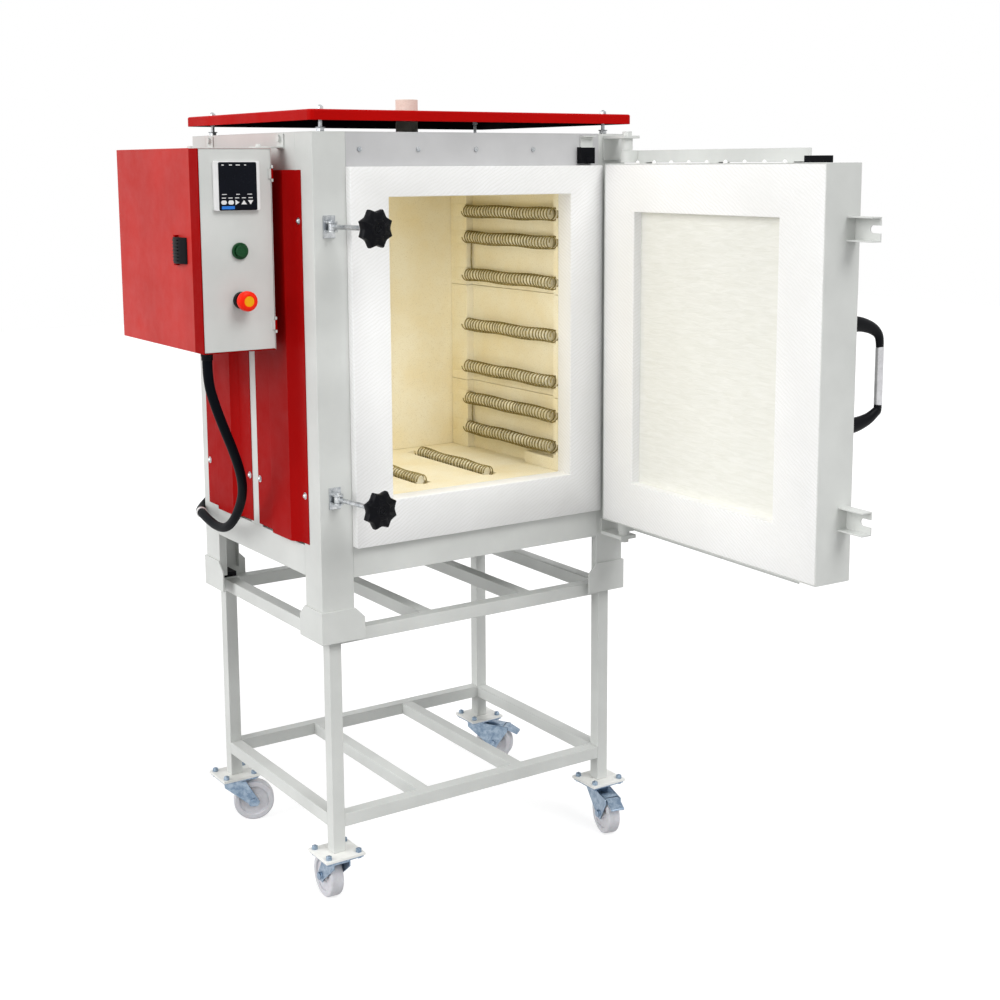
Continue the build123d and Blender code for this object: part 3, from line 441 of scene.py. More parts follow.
def dressed(node, surface, edge=0.6, flat=0.5, smooth=35, segments=2):
    """A merged and softened copy of a CAD node, standing in for it."""
    source = nodes[node]
    piece = bpy.data.objects.new(node + "_finished", source.data.copy())
    bpy.context.scene.collection.objects.link(piece)
    edit(piece)
    bpy.ops.mesh.remove_doubles(threshold=0.00001)
    if flat:
        bpy.ops.mesh.dissolve_limited(angle_limit=radians(flat))
    leave_edit()
    piece.data.materials.clear()
    piece.data.materials.append(surface)
    if edge:
        bevelled(piece, edge, segments)
    smoothed(piece, smooth)
    if edge:
        flat_faces_true(piece)
    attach(piece, source["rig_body"])
    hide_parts(node)
    return piece


def repaint(node, surface):
    mesh = nodes[node].data
    mesh.materials.clear()
    mesh.materials.append(surface)


def lathe(profile, steps=40, smooth=35):
    """Turn a profile of (radius, height) points about the Z axis."""
    bpy.ops.object.select_all(action="DESELECT")
    bpy.ops.mesh.primitive_plane_add(size=0.01, location=(0, 0, 0))
    piece = bpy.context.object
    bpy.ops.object.mode_set(mode="EDIT")
    bpy.ops.mesh.select_all(action="SELECT")
    bpy.ops.mesh.merge(type="CENTER")
    radius, height = profile[0]
    bpy.ops.transform.translate(value=(radius * MM, 0, height * MM))
    for next_radius, next_height in profile[1:]:
        step = ((next_radius - radius) * MM, 0, (next_height - height) * MM)
        bpy.ops.mesh.extrude_vertices_move(TRANSFORM_OT_translate={"value": step})
        radius, height = next_radius, next_height
    bpy.ops.mesh.select_all(action="SELECT")
    bpy.ops.mesh.spin(steps=steps, angle=2 * pi, center=(0, 0, 0), axis=(0, 0, 1))
    bpy.ops.mesh.select_all(action="SELECT")
    bpy.ops.mesh.remove_doubles(threshold=0.000005)
    bpy.ops.mesh.normals_make_consistent(inside=False)
    leave_edit()
    smoothed(piece, smooth)
    return piece


def round_bar(radius, length, steps=40):
    """A bar standing on the origin, its end edges broken by a millimetre."""
    side = [(radius - 1, 0), (radius, 1), (radius, length - 1), (radius - 1, length)]
    return lathe([(0, 0), *side, (0, length)], steps=steps)


def slab(low, high, edge=1.0, segments=2):
    """A plate or bar between two corners, its edges rounded."""
    centre = [(a + b) / 2 for a, b in zip(low, high)]
    bpy.ops.object.select_all(action="DESELECT")
    bpy.ops.mesh.primitive_cube_add(size=1, location=at(*centre))
    piece = bpy.context.object
    piece.scale = [abs(b - a) * MM for a, b in zip(low, high)]
    bpy.ops.object.transform_apply(location=True, rotation=True, scale=True)
    bevelled(piece, edge, segments)
    smoothed(piece)
    return piece


def swept(points, radii, sides=16, smooth=60):
    """A round bar through points in metres, with its own radius at each."""
    line = bpy.data.curves.new("bar", "CURVE")
    line.dimensions = "3D"
    line.resolution_u = 6
    line.bevel_depth = 1.0
    line.bevel_resolution = max(0, sides // 4 - 1)
    line.use_fill_caps = True
    run = line.splines.new("NURBS")
    run.points.add(len(points) - 1)
    for spot, place, radius in zip(run.points, points, radii):
        spot.co = (place[0], place[1], place[2], 1)
        spot.radius = radius * MM
    run.order_u = 3
    run.use_endpoint_u = True
    piece = bpy.data.objects.new("bar", line)
    bpy.context.scene.collection.objects.link(piece)
    only(piece)
    bpy.ops.object.convert(target="MESH")
    piece = bpy.context.object
    edit(piece)
    bpy.ops.mesh.remove_doubles(threshold=0.00001)
    bpy.ops.mesh.normals_make_consistent(inside=False)
    leave_edit()
    smoothed(piece, smooth)
    return piece


TO_FRONT = Matrix.Rotation(radians(90), 4, "X")
TO_LEFT = Matrix.Rotation(radians(-90), 4, "Y")
TO_RIGHT = Matrix.Rotation(radians(90), 4, "Y")

# Door frame: s runs from the hinge edge, n outwards from the shut cabinet

HINGE = (729.4, -58.7)
DOOR_OPEN = 88.1
DOOR_EDGE_X = 757
DOOR_FACE_Y = -19
door_swing = (
    place_at(HINGE[0], HINGE[1], 0)
    @ Matrix.Rotation(radians(DOOR_OPEN), 4, "Z")
    @ place_at(HINGE[0], HINGE[1], 0).inverted()
)


def on_door(s, n, z):
    return door_swing @ at(DOOR_EDGE_X - s, DOOR_FACE_Y - n, z)


# Conduit hose: a free hose from the control box to the rear terminal cover

HOSE_D = 20
HOSE_ROUTE = [
    (-176, 128, 1164),
    (-176, 128, 1122),
    (-164, 129, 1078),
    (-143, 136, 1026),
    (-116, 152, 972),
    (-91, 176, 922),
    (-71, 210, 876),
    (-59, 252, 834),
    (-55, 296, 792),
    (-52, 346, 764),
    (-48, 404, 756),
    (-44, 464, 761),
    (-36, 522, 767),
    (-15, 578, 757),
    (25, 624, 768),
    (86, 650, 796),
    (142, 652, 804),
]

hose_line = bpy.data.curves.new("conduit_hose_line", "CURVE")
hose_line.dimensions = "3D"
hose_line.resolution_u = 10
hose_line.bevel_depth = HOSE_D / 2 * MM
hose_line.bevel_resolution = 5
hose_line.use_fill_caps = True
hose_run = hose_line.splines.new("NURBS")
hose_run.points.add(len(HOSE_ROUTE) - 1)
for spot, place in zip(hose_run.points, HOSE_ROUTE):
    spot.co = (*at(*place), 1)
hose_run.order_u = 3
hose_run.use_endpoint_u = True
hose_line.materials.append(RUBBER)
hose = bpy.data.objects.new("conduit_hose_line", hose_line)
bpy.context.scene.collection.objects.link(hose)
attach(hose, "kiln")
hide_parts("conduit_hose")

RING_PROFILE = [(10.2, -5), (12, -4.2), (12.4, 0), (12, 4.2), (10.2, 5)]
RING_POINT = 12

tie_ring = lathe(RING_PROFILE, steps=32)
before_ring, by_ring, after_ring = (at(*place) for place in HOSE_ROUTE[RING_POINT - 1 : RING_POINT + 2])
tie_centre = by_ring * 0.75 + before_ring * 0.125 + after_ring * 0.125
tie_heading = (after_ring - before_ring).normalized()
tie_place = Matrix.Translation(tie_centre) @ tie_heading.to_track_quat("Z", "Y").to_matrix().to_4x4()
tie_ring = settle(tie_ring, "hose_tie_ring", "kiln", MARK, tie_place)

# Floor, backdrop light and lamps

LAMP_WORLD = 0.56


def seen_directly(tree):
    path = tree.nodes.new("ShaderNodeLightPath")
    either = tree.nodes.new("ShaderNodeMath")
    either.operation = "MAXIMUM"
    tree.links.new(path.outputs["Is Camera Ray"], either.inputs[0])
    tree.links.new(path.outputs["Is Glossy Ray"], either.inputs[1])
    both = tree.nodes.new("ShaderNodeMath")
    both.operation = "MAXIMUM"
    tree.links.new(either.outputs[0], both.inputs[0])
    tree.links.new(path.outputs["Is Transmission Ray"], both.inputs[1])
    return both.outputs[0]


world = bpy.data.worlds.new("studio")
bpy.context.scene.world = world
world.use_nodes = True
sky = world.node_tree
soft = sky.nodes["Background"]
soft.inputs["Color"].default_value = (1, 1, 1, 1)
soft.inputs["Strength"].default_value = LAMP_WORLD
white = sky.nodes.new("ShaderNodeBackground")
white.inputs["Color"].default_value = (1, 1, 1, 1)
white.inputs["Strength"].default_value = 1.0
sky_mix = sky.nodes.new("ShaderNodeMixShader")
sky.links.new(seen_directly(sky), sky_mix.inputs[0])
sky.links.new(soft.outputs[0], sky_mix.inputs[1])
sky.links.new(white.outputs[0], sky_mix.inputs[2])
sky.links.new(sky_mix.outputs[0], sky.nodes["World Output"].inputs["Surface"])

floor_paint = bpy.data.materials.new("pale studio floor")
floor_paint.use_nodes = True
floor_tree = floor_paint.node_tree
floor_tree.nodes.remove(floor_tree.nodes["Principled BSDF"])
matt = floor_tree.nodes.new("ShaderNodeBsdfDiffuse")
matt.inputs["Color"].default_value = (0.45, 0.45, 0.45, 1)
faint = floor_tree.nodes.new("ShaderNodeBsdfDiffuse")
faint.inputs["Color"].default_value = (0.42, 0.42, 0.42, 1)
glow = floor_tree.nodes.new("ShaderNodeEmission")
glow.inputs["Strength"].default_value = 0.72
lit = floor_tree.nodes.new("ShaderNodeAddShader")
floor_mix = floor_tree.nodes.new("ShaderNodeMixShader")
floor_tree.links.new(faint.outputs[0], lit.inputs[0])
floor_tree.links.new(glow.outputs[0], lit.inputs[1])
floor_tree.links.new(seen_directly(floor_tree), floor_mix.inputs[0])
floor_tree.links.new(matt.outputs[0], floor_mix.inputs[1])
floor_tree.links.new(lit.outputs[0], floor_mix.inputs[2])
floor_tree.links.new(floor_mix.outputs[0], floor_tree.nodes["Material Output"].inputs["Surface"])

bpy.ops.object.select_all(action="DESELECT")
bpy.ops.mesh.primitive_plane_add(size=24, location=(0, 0, 0))
floor = bpy.context.object
floor.name = "studio_floor"
floor.data.materials.append(floor_paint)


def sun(name, heading, strength, spread):
    bpy.ops.object.select_all(action="DESELECT")
    bpy.ops.object.light_add(type="SUN", location=(0, 0, 3))
    lamp = bpy.context.object
    lamp.name = name
    lamp.data.energy = strength
    lamp.data.angle = radians(spread)
    lamp.rotation_euler = Vector(heading).to_track_quat("-Z", "Y").to_euler()


def spotlight(name, place, target, power, cone):
    bpy.ops.object.select_all(action="DESELECT")
    bpy.ops.object.light_add(type="SPOT", location=at(*place))
    lamp = bpy.context.object
    lamp.name = name
    lamp.data.energy = power
    lamp.data.spot_size = radians(cone)
    lamp.data.spot_blend = 0.5
    lamp.data.shadow_soft_size = 0.12
    lamp.rotation_euler = (at(*target) - at(*place)).to_track_quat("-Z", "Y").to_euler()


sun("key_lamp", (-0.15, 1.0, -0.95), 1.42, 30)
sun("left_lamp", (1.0, -0.08, -0.45), 1.78, 50)
spotlight("chamber_lamp", (-620, -1500, 1340), (500, 330, 1120), 26, 12.5)
bpy.ops.object.select_all(action="DESELECT")
bpy.ops.object.light_add(type="POINT", location=at(300, 110, 1250))
inner_lamp = bpy.context.object
inner_lamp.name = "inner_lamp"
inner_lamp.data.energy = 0.95
inner_lamp.data.shadow_soft_size = 0.08
inner_lamp.visible_camera = False
inner_lamp.visible_glossy = False

# Sheet metal of the stand and the cabinet

dressed("stand_legs", GREY, edge=1.2)
for node in ("corner_posts", "body_rails", "corner_sockets"):
    dressed(node, GREY, edge=0.9)
dressed("stand_rails", GREY, edge=1.2, flat=0)
dressed("header_plate", HEADER, edge=0.8)
dressed("rear_panel", GREY, edge=0.5)
dressed("rear_cover", GREY, edge=0.8)
rear_top = kiln_mm(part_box("rear_panel")[1]).z
cabinet_top = kiln_mm(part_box("corner_posts")[1]).z
rear_web = slab((72.5, 579.2, rear_top - 8), (696.5, 580.8, cabinet_top - 29.5), edge=0.3)
settle(rear_web, "rear_top_web", "kiln", GREY)
dressed("foot_plates", CREAM, edge=0.8)
dressed("castor_plates", ZINC, edge=0.6)
repaint("body_feet", PLASTIC)
dressed("side_panels", RED, edge=0.7, smooth=8)
roof = dressed("roof_cover", ROOF_RED, edge=0.9)
roof_low, roof_high = (kiln_mm(spot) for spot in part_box("roof_cover"))


# Faces of the roof cover that take painted shade: those facing down and the lip's faces turned inwards.
def painted_shade_under_roof(spot, normal):
    inside_x = roof_low.x + 1 < spot.x < roof_high.x - 1
    inside_y = roof_low.y + 1 < spot.y < roof_high.y - 1
    middle = (roof_low + roof_high) / 2
    inward = normal.x * (middle.x - spot.x) + normal.y * (middle.y - spot.y) > 0.1
    return inside_x and inside_y and (inward or normal.z < -0.5)


two_tone(roof, ROOF_PAINTED_SHADE, painted_shade_under_roof)
studs = dressed("roof_studs", STEEL, edge=0.5)
two_tone(studs, GREY, lambda spot, normal: spot.z < 1609.5)
dressed("vent_tube", WOOL, edge=1.0, smooth=50)
screws = dressed("fasteners", STEEL, edge=0.4)
two_tone(screws, ZINC, lambda spot, normal: spot.z < 260)
brackets = dressed("front_brackets", GREY, edge=0.6)
two_tone(brackets, STEEL, lambda spot, normal: spot.x < 100)
switch = dressed("door_switch", PLASTIC, edge=0.8)
two_tone(switch, GREY, lambda spot, normal: spot.x > 645.5 and spot.z > 1573 and spot.y < -0.5)

PAN_HEAD = [(0, 4.8), (2.6, 4.4), (4.8, 2.6), (5.4, 0.6), (7.4, 0.4), (7.4, -0.6), (0, -0.6)]
SCREW_Y = (62, 275, 326, 540)
SCREW_Z = (880, 1435)
SCREW_SIDES = ((-1.5, TO_LEFT), (770.5, TO_RIGHT))

screw_heads = []
for y in SCREW_Y:
    for z in SCREW_Z:
        for x, turn in SCREW_SIDES:
            screw_heads.append(placed(lathe(PAN_HEAD, steps=24), place_at(x, y, z) @ turn))
settle(joined(screw_heads), "side_screw_heads", "kiln", STEEL)

# Lining and insulation

dressed("lining_floor", BRICK, edge=1.5)
dressed("lining_walls", BRICK, edge=1.2)
dressed("lining_roof", BRICK, edge=1.5)
repaint("backup_insulation", WOOL)
repaint("thermocouple", TUBE)


def blanket(node, edge):
    """A CAD fibre block with soft, slightly uneven arrises and faces."""
    source = nodes[node]
    piece = bpy.data.objects.new(node + "_woven", source.data.copy())
    bpy.context.scene.collection.objects.link(piece)
    edit(piece)
    bpy.ops.mesh.remove_doubles(threshold=0.00001)
    bpy.ops.mesh.dissolve_limited(angle_limit=radians(0.5))
    leave_edit()
    bevelled(piece, edge, 3, 40)
    edit(piece)
    bpy.ops.mesh.quads_convert_to_tris()
    leave_edit()
    piece.data.materials.clear()
    piece.data.materials.append(CLOTH)
    smoothed(piece, 45)
    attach(piece, source["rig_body"])
    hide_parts(node)
    return piece


blanket("fibre_collar", 2.2)
door_lining = blanket("door_fibre", 2.2)
PLUG = (107, 557, 857, 1443)
PLUG_DEEP = 20
door_shut = door_swing.inverted()


def in_plug(spot, normal):
    shut = door_shut @ at(*spot)
    shut = kiln_mm(shut)
    s = DOOR_EDGE_X - shut.x
    n = DOOR_FACE_Y - shut.y
    return PLUG[0] - 1 < s < PLUG[1] + 1 and PLUG[2] - 1 < shut.z < PLUG[3] + 1 and n > PLUG_DEEP - 1


two_tone(door_lining, BOARD, in_plug)

# Heating elements: thick wire wound loosely on ceramic tubes

COIL_R = 14
WIRE_R = 1.45
TUBE_R = 11
TUBE_RUN = (64, 403)
ELEMENT_X = {"right": 612, "left": 157}
ELEMENT_Z = (1436, 1374, 1286, 1167, 1065, 989, 917)
WALL_RUN = (44, 404)
WALL_TURNS = 31
FLOOR_X = (299, 471)
FLOOR_Z = 868
FLOOR_RUN = (98, 396)
FLOOR_TURNS = 26


def winding(x, z, run, turns, sag, phase):
    """One coil along +Y, its turns a little uneven as they sag on the tube."""
    length = run[1] - run[0]
    bpy.ops.object.select_all(action="DESELECT")
    bpy.ops.mesh.primitive_circle_add(
        vertices=8,
        radius=WIRE_R * MM,
        location=(COIL_R * MM, 0, 0),
        rotation=(radians(90), 0, 0),
    )
    piece = bpy.context.object
    bpy.ops.object.transform_apply(location=True, rotation=True, scale=True)
    screw = piece.modifiers.new("turns", "SCREW")
    screw.axis = "Z"
    screw.angle = 2 * pi
    screw.screw_offset = length / turns * MM
    screw.iterations = turns
    screw.steps = 18
    screw.render_steps = 18
    screw.use_merge_vertices = False
    apply_all(piece)
    edit(piece, False)
    bpy.ops.mesh.select_non_manifold()
    bpy.ops.mesh.edge_face_add()
    bpy.ops.mesh.select_all(action="SELECT")
    bpy.ops.mesh.normals_make_consistent(inside=False)
    leave_edit()
    for vertex in piece.data.vertices:
        along = vertex.co.z / (length * MM)
        drift = sin(along * 9.4 + phase) * 1.1 + sin(along * 23 + phase * 2) * 0.5
        vertex.co.x += drift * MM
        vertex.co.y += (sin(along * 12.5 + phase * 1.7) * 1.2 - sag) * MM
        vertex.co.z += sin(along * 41 + phase) * 0.9 * MM
    smoothed(piece, 60)
    turn = Matrix.Rotation(radians(-90), 4, "X") @ Matrix.Rotation(radians(180), 4, "Z")
    return placed(piece, place_at(x, run[0], z) @ turn)


def element_tube(x, z, run):
    bar = round_bar(TUBE_R, run[1] - run[0], steps=24)
    return placed(bar, place_at(x, run[1], z) @ TO_FRONT)


right_coils = []
left_coils = []
rods = []
for number, z in enumerate(ELEMENT_Z):
    right_coils.append(winding(ELEMENT_X["right"], z, WALL_RUN, WALL_TURNS, 0.8, 1.3 * number))
    left_coils.append(winding(ELEMENT_X["left"], z, WALL_RUN, WALL_TURNS, 0.8, 2.1 * number))
    for x in ELEMENT_X.values():
        rods.append(element_tube(x, z, TUBE_RUN))
for number, x in enumerate(FLOOR_X):
    right_coils.append(winding(x, FLOOR_Z, FLOOR_RUN, FLOOR_TURNS, 0.6, 0.7 + number))
    rods.append(element_tube(x, FLOOR_Z, (FLOOR_RUN[0] + 12, FLOOR_RUN[1] - 6)))
right_windings = settle(joined(right_coils), "heating_windings", "kiln", WIRE)
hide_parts("heating_coils")
left_wound = settle(joined(left_coils), "left_wall_windings", "kiln", WIRE)
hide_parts("left_windings")
element_rods = settle(joined(rods), "ceramic_element_rods", "kiln", TUBE)
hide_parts("element_tubes")
PACKING_X = (609.45, 146.95)
PACKING_Y = (404.6, 463.5)
PACKING_W = 12.6
PACKING_HALF = 15.4
packing = []
for z in ELEMENT_Z:
    for x in PACKING_X:
        low = (x, PACKING_Y[0], z - PACKING_HALF)
        high = (x + PACKING_W, PACKING_Y[1], z + PACKING_HALF)
        packing.append(slab(low, high, edge=0.05))
settle(joined(packing), "element_end_packing", "kiln", BRICK)


def wire_run(name, places, radius=1.6):
    bar = swept([at(*place) for place in places], [radius] * len(places), sides=8)
    return settle(bar, name, "kiln", WIRE)


for side, x, wall in (("right", 612, 629), ("left", 157, 140)):
    for pair, (high, low) in enumerate(((1374, 1286), (989, 917))):
        inner = x + (wall - x) * 0.5
        wire_run(
            f"link_wire_{side}_{pair + 1}",
            [
                (inner, 394, high - 12),
                (inner, 396, high - 20),
                (inner + 1, 397, (high + low) / 2 + 4),
                (inner - 1, 396, (high + low) / 2 - 8),
                (inner, 396, low + 20),
                (inner, 394, low + 12),
            ],
        )

# Door metalwork

dressed("door_shell", GREY, edge=0.8)
arms = dressed("hinge_arms", GREY, edge=0.7)
STOP_SHORTENED = 28


def is_stop(spot, normal):
    shut = kiln_mm(door_shut @ at(*spot))
    return DOOR_FACE_Y - shut.y < 54.6 and DOOR_EDGE_X - shut.x > 555


two_tone(arms, PLASTIC, is_stop)
along_door = on_door(1, 0, 0) - on_door(0, 0, 0)
for vertex in arms.data.vertices:
    shut = kiln_mm(door_shut @ vertex.co)
    if DOOR_FACE_Y - shut.y < 56 and 550 < DOOR_EDGE_X - shut.x < 600 and shut.z > 1540:
        vertex.co += along_door * STOP_SHORTENED
dressed("door_lugs", GREY, edge=0.5)

HANDLE_S = 662
HANDLE_FACE = 89.4
HANDLE_OFF = 77
HANDLE_FLATTENED = 0.32
BAR_R = 8
BAR_Z = (1088, 1199)
FOOT_Z = (1038, 1262)


def handle_end(name, foot, bar, way):
    """A moulded end of the bow handle, from its wide foot up to the steel grip."""
    reach = HANDLE_FACE + HANDLE_OFF
    line = [
        (HANDLE_FACE, foot + way * 15),
        (HANDLE_FACE + 14, foot + way * 15.5),
        (HANDLE_FACE + 34, foot + way * 19),
        (HANDLE_FACE + 56, foot + way * 26),
        (reach - 5, foot + way * 37),
        (reach, bar - way * 12),
        (reach, bar),
    ]
    sizes = [15.5, 15, 13.4, 11.6, 10, 9.2, 8.8]
    points = [on_door(HANDLE_S, n, z) for n, z in line]
    piece = swept(points, sizes, sides=24)
    centre = on_door(HANDLE_S, HANDLE_FACE, foot)
    across = along_door.normalized()
    for vertex in piece.data.vertices:
        off = (vertex.co - centre).dot(across)
        vertex.co -= across * off * HANDLE_FLATTENED
    return settle(piece, name, "door", PLASTIC)


handle_end("handle_end_upper", FOOT_Z[1], BAR_Z[1], -1)
handle_end("handle_end_lower", FOOT_Z[0], BAR_Z[0], 1)
grip = round_bar(BAR_R, BAR_Z[1] - BAR_Z[0])
grip_place = Matrix.Translation(on_door(HANDLE_S, HANDLE_FACE + HANDLE_OFF, BAR_Z[0]))
grip = settle(grip, "handle_grip_tube", "door", SILVER, grip_place)
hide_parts("door_handle")

TUFT_PROFILE = [(0, 6.2), (2.2, 5.4), (4.2, 2.6), (4.8, 0), (4.4, -1.0), (0, -1.0)]
TUFT_S = 112
TUFT_STEP = 56.5
TUFT_Z = 1544.7
for number in range(9):
    tuft_place = Matrix.Translation(on_door(TUFT_S + number * TUFT_STEP, 5, TUFT_Z))
    settle(lathe(TUFT_PROFILE, steps=16), f"fibre_tuft_{number + 1}", "door", CLOTH, tuft_place)

# Swing bolts and star knobs

BOLT_Z = {"lower": 882, "upper": 1425}
BOLT_AT = (33, -16)
BOLT_REST = 9
KNOB_AT = 134

KNOB_PROFILE = [
    (0, -14.5),
    (13, -14.5),
    (14, -13.5),
    (15.5, -9.6),
    (34, -9.2),
    (37.8, -7.4),
    (39.2, -3.5),
    (39.2, 3.5),
    (37.4, 7.6),
    (33, 9.6),
    (20, 10.2),
    (17.6, 11.8),
    (13, 12.2),
    (10.4, 12),
    (9.4, 11.2),
    (9.3, 5),
    (0, 5),
]


def star_knob():
    """A moulded knob, its rim scooped out between eight points."""
    piece = lathe(KNOB_PROFILE, steps=160, smooth=40)
    for vertex in piece.data.vertices:
        reach = Vector((vertex.co.x, vertex.co.y)).length / MM
        if reach < 17:
            continue
        turn = Vector((1, 0)).angle_signed(Vector((vertex.co.x, vertex.co.y)))
        phase = abs((turn / (pi / 4) + 0.5) % 1.0 - 0.5) * 2
        scoop = 7 * (1 - phase ** 1.7) * min(1.0, (reach - 17) / 11)
        vertex.co.x *= 1 - scoop / reach
        vertex.co.y *= 1 - scoop / reach
    smoothed(piece, 40)
    return piece


for level, z in BOLT_Z.items():
    rod = dressed(f"eye_bolt_{level}", STEEL, edge=0.5)
    # The steel rod's end face inside the knob is painted black as painted shade in the knob's centre
    # bore; the insert's front is painted the knob's black plastic.
    two_tone(rod, PLASTIC, lambda spot, normal: normal.y < -0.8 and spot.y < -150)
    insert = dressed(f"knob_insert_{level}", STEEL, edge=0.4)
    two_tone(insert, PLASTIC, lambda spot, normal: spot.y < -150)
    bolt = place_at(BOLT_AT[0], BOLT_AT[1], z) @ Matrix.Rotation(radians(BOLT_REST), 4, "Z")
    knob = star_knob()
    middle = bolt @ Matrix.Translation((0, -KNOB_AT * MM, 0)) @ TO_FRONT
    settle(knob, f"moulded_star_knob_{level}", f"knob_{level}", PLASTIC, middle)
    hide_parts(f"star_knob_{level}")

# Control box

# The cover takes the red with painted sheen.
dressed("box_cover", COVER_RED_WITH_SHEEN, edge=0.9)
box_rim = dressed("box_frame", DEEP_RED, edge=0.8)
rim_high = kiln_mm(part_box("box_frame")[1])
two_tone(box_rim, GREY, lambda spot, normal: spot.z > rim_high.z - 2.2 or spot.x > -38.3)
dressed("box_hangers", GREY, edge=0.6)
repaint("box_electrics", GREY)
panel = dressed("panel_door", GREY, edge=0.7)
two_tone(panel, DEEP_RED, lambda spot, normal: spot.y < 104.6 and spot.x > -38.5)
dressed("start_button", GREEN, edge=0.8, smooth=50)
fittings = dressed("panel_fittings", PLASTIC, edge=0.5, smooth=50)
two_tone(fittings, GREEN, lambda spot, normal: spot.z > 1340 and spot.y < 104.9)
instrument = dressed("controller", BEZEL, edge=0.9, smooth=50)
two_tone(instrument, PLASTIC, lambda spot, normal: spot.y > 106)
dressed("box_catch", PLASTIC, edge=0.8)
dressed("hose_glands", PLASTIC, edge=0.5)

CONTROL_X = -110
WINDOW_Y = 95.6
MARK_PROUD = 0.25
MARK_SUNK = 0.3
FACE_X = (-153.4, -73.1)
FACE_Z = (1457.5, 1550.5)


def face_plate():
    """The dark window of the instrument, with rounded corners."""
    width = FACE_X[1] - FACE_X[0]
    height = FACE_Z[1] - FACE_Z[0]
    middle = (FACE_X[0] + width / 2, WINDOW_Y, FACE_Z[0] + height / 2)
    plate = cornered_plate(middle, width, height, cut=3.0, segments=4)
    thicken(plate, 1.2)
    settle(plate, "instrument_window", "control_panel", GLASS)


def cornered_plate(middle, width, height, cut, segments=1):
    """A flat plate facing the front, its corners cut or rounded."""
    bpy.ops.object.select_all(action="DESELECT")
    bpy.ops.mesh.primitive_plane_add(size=1, location=at(*middle), rotation=(radians(90), 0, 0))
    plate = bpy.context.object
    plate.scale = (width * MM, height * MM, 1)
    bpy.ops.object.transform_apply(location=True, rotation=True, scale=True)
    edit(plate)
    bpy.ops.mesh.bevel(offset=cut * MM, segments=segments, affect="VERTICES")
    leave_edit()
    return plate


def thicken(plate, depth):
    edit(plate)
    bpy.ops.mesh.extrude_region_move(TRANSFORM_OT_translate={"value": (0, depth * MM, 0)})
    bpy.ops.mesh.select_all(action="SELECT")
    bpy.ops.mesh.normals_make_consistent(inside=False)
    leave_edit()


def bar_mark(name, x, z, width, height, cut, surface=MARK):
    """A thin printed bar with cut corners, just proud of the window."""
    plate = cornered_plate((x, WINDOW_Y - MARK_PROUD, z), width, height, cut)
    thicken(plate, MARK_PROUD + MARK_SUNK)
    settle(plate, name, "control_panel", surface)


def arrow_mark(name, x, z, width, height, turn):
    """A printed arrowhead about its own centre of mass, pointing up before its turn."""
    bpy.ops.object.select_all(action="DESELECT")
    bpy.ops.mesh.primitive_circle_add(vertices=3, radius=1, fill_type="NGON", location=(0, 0, 0))
    plate = bpy.context.object
    size = Matrix.Diagonal((width * MM / sqrt(3), height * MM / 1.5, 1, 1))
    facing = TO_FRONT @ Matrix.Rotation(radians(turn), 4, "Z")
    placed(plate, place_at(x, WINDOW_Y - MARK_PROUD, z) @ facing @ size)
    thicken(plate, MARK_PROUD + MARK_SUNK)
    settle(plate, name, "control_panel", MARK)


face_plate()
KEY_Z = 1473
bar_mark("key_square_1", -143.5, KEY_Z, 11.5, 8, 2.4)
bar_mark("key_square_2", -128.7, KEY_Z, 11.5, 8, 2.4)
arrow_mark("key_right", -116.7, KEY_Z, 10.4, 8.4, -90)
arrow_mark("key_up", -101.4, KEY_Z - 1.2, 12, 8.4, 0)
arrow_mark("key_down", -87.3, KEY_Z + 1.2, 12, 8.4, 180)
bar_mark("plain_bar", -134.7, 1463, 27, 6, 0.6, BLUE)
for number, (x, width) in enumerate(((-144.2, 5), (-127.7, 6.5), (-112.3, 9), (-96.8, 4))):
    bar_mark(f"lamp_tick_{number + 1}", x, 1545, width, 1.8, 0.5)
for number, (x, width) in enumerate(((-142.2, 10), (-113.7, 8), (-88.7, 10))):
    bar_mark(f"upper_tick_{number + 1}", x, 1488.6, width, 1.4, 0.4)
for number, x in enumerate((-143.5, -129.7, -115.8, -101.4, -87.3)):
    bar_mark(f"key_tick_{number + 1}", x, 1481.7, 9, 1.6, 0.4)

BUTTON_Z = 1378
ESTOP_Z = 1281
PANEL_Y = 105
mushroom = lathe(
    [
        (0, 39.2),
        (10.5, 39.2),
        (11.2, 40),
        (15, 39.6),
        (18.6, 37.2),
        (20, 33.5),
        (20, 26),
        (19.2, 22.6),
        (17.4, 20.6),
        (8, 20.2),
        (8, -4),
        (0, -4),
    ],
    steps=48,
)
estop_place = place_at(CONTROL_X, PANEL_Y, ESTOP_Z) @ TO_FRONT
mushroom = settle(mushroom, "estop_mushroom", "estop", SIGNAL_RED, estop_place)
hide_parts("estop_head")
disc = lathe([(0, 39.9), (9.6, 39.9), (10.4, 39.3), (10.4, 38.8), (0, 38.8)], steps=40)
settle(disc, "estop_disc", "estop", YELLOW, estop_place)
cap_ring = lathe([(8.4, 11.0), (8.6, 11.5), (10.4, 11.5), (10.8, 11.0)], steps=40)
settle(cap_ring, "button_ring", "start_button", GREEN, place_at(CONTROL_X, PANEL_Y, BUTTON_Z) @ TO_FRONT)

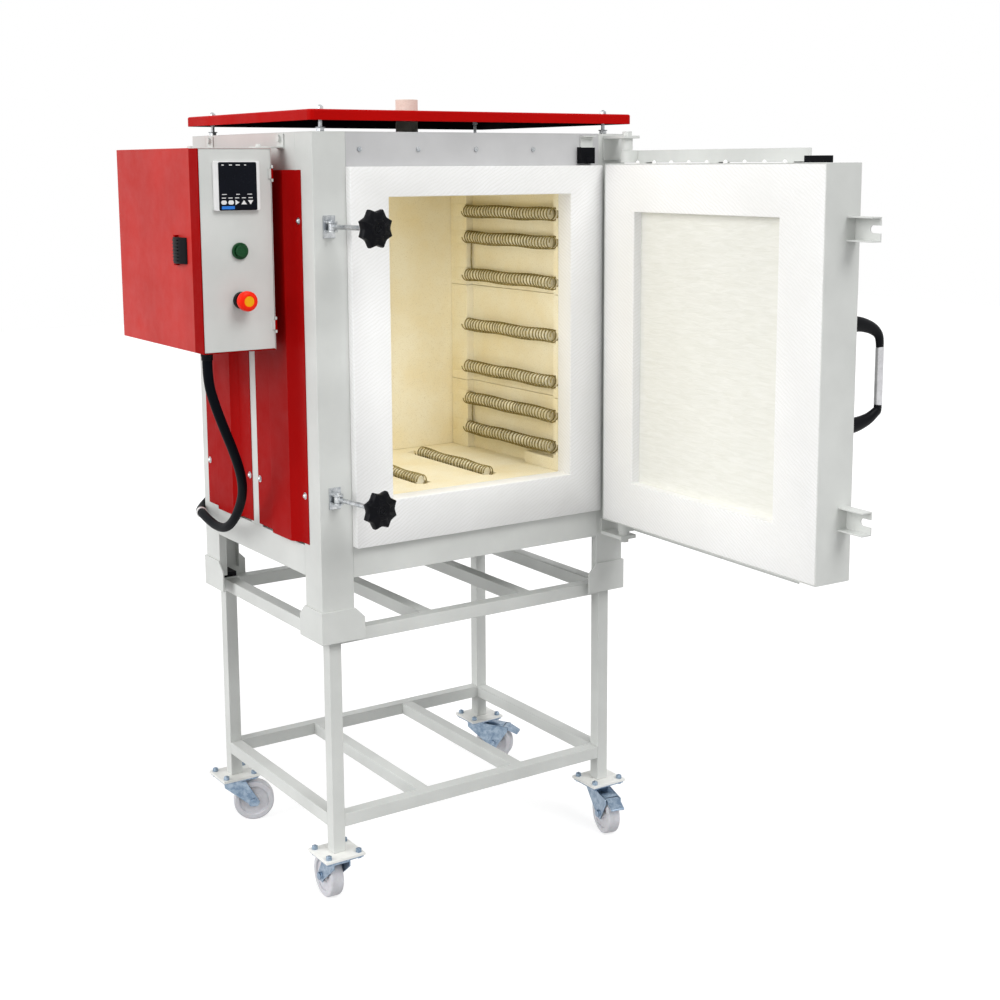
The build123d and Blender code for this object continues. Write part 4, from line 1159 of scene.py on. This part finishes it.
RIB_Z = 1358
RIB_STEP = 6.7
for number in range(7):
    z = RIB_Z + number * RIB_STEP
    rib = slab((-205.6, 190, z - 1.1), (-203.0, 214, z + 1.1), edge=0.6)
    settle(rib, f"catch_rib_{number + 1}", "catch", PLASTIC)

# Castors: the CAD forks and wheels dressed, a swivel race under each plate, and each braked fork's hood
# drawn with its wheel trailing along +Y from the kingpin, then turned

CASTOR_AT = {
    "front_left": (37, 33),
    "rear_left": (37, 548),
    "front_right": (732, 33),
    "rear_right": (732, 548),
}
CASTOR_TURN = {"front_left": -3, "rear_left": -113, "front_right": 167, "rear_right": -140}
BRAKED = ("front_right", "rear_right")
HOOD_SIZE = (33.6, 49, 1.4)
HOOD_AT = (0, 45.5, 97)
HOOD_TILT = -5.6

for name in CASTOR_AT:
    dressed(f"castor_fork_{name}", ZINC, edge=0.7, smooth=40)
    dressed(f"castor_wheel_{name}", NYLON, edge=2.2, segments=3, smooth=50)
for name in BRAKED:
    dressed(f"brake_pedal_{name}", ZINC, edge=0.7, smooth=40)

plate_under = kiln_mm(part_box("castor_plates")[1]).z - 4
RACE_PROFILE = [
    (6, 106.6),
    (22, 106.6),
    (24.5, 107.6),
    (24.5, plate_under - 0.8),
    (6, plate_under),
]
for name, (x, y) in CASTOR_AT.items():
    settle(lathe(RACE_PROFILE, steps=36), f"swivel_race_{name}", "kiln", ZINC, place_at(x, y, 0))
    if name in BRAKED:
        bpy.ops.object.select_all(action="DESELECT")
        bpy.ops.mesh.primitive_cube_add(size=1)
        hood = bpy.context.object
        hood.scale = [side * MM for side in HOOD_SIZE]
        bpy.ops.object.transform_apply(location=True, rotation=True, scale=True)
        bevelled(hood, 0.5)
        smoothed(hood)
        castor = place_at(x, y, 0) @ Matrix.Rotation(radians(CASTOR_TURN[name]), 4, "Z")
        tilt = Matrix.Translation(Vector(HOOD_AT) * MM) @ Matrix.Rotation(radians(HOOD_TILT), 4, "X")
        body = nodes[f"castor_fork_{name}"]["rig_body"]
        settle(hood, f"fork_hood_{name}", body, ZINC, castor @ tilt)

view = bpy.context.scene.view_settings
view.view_transform = "Standard"
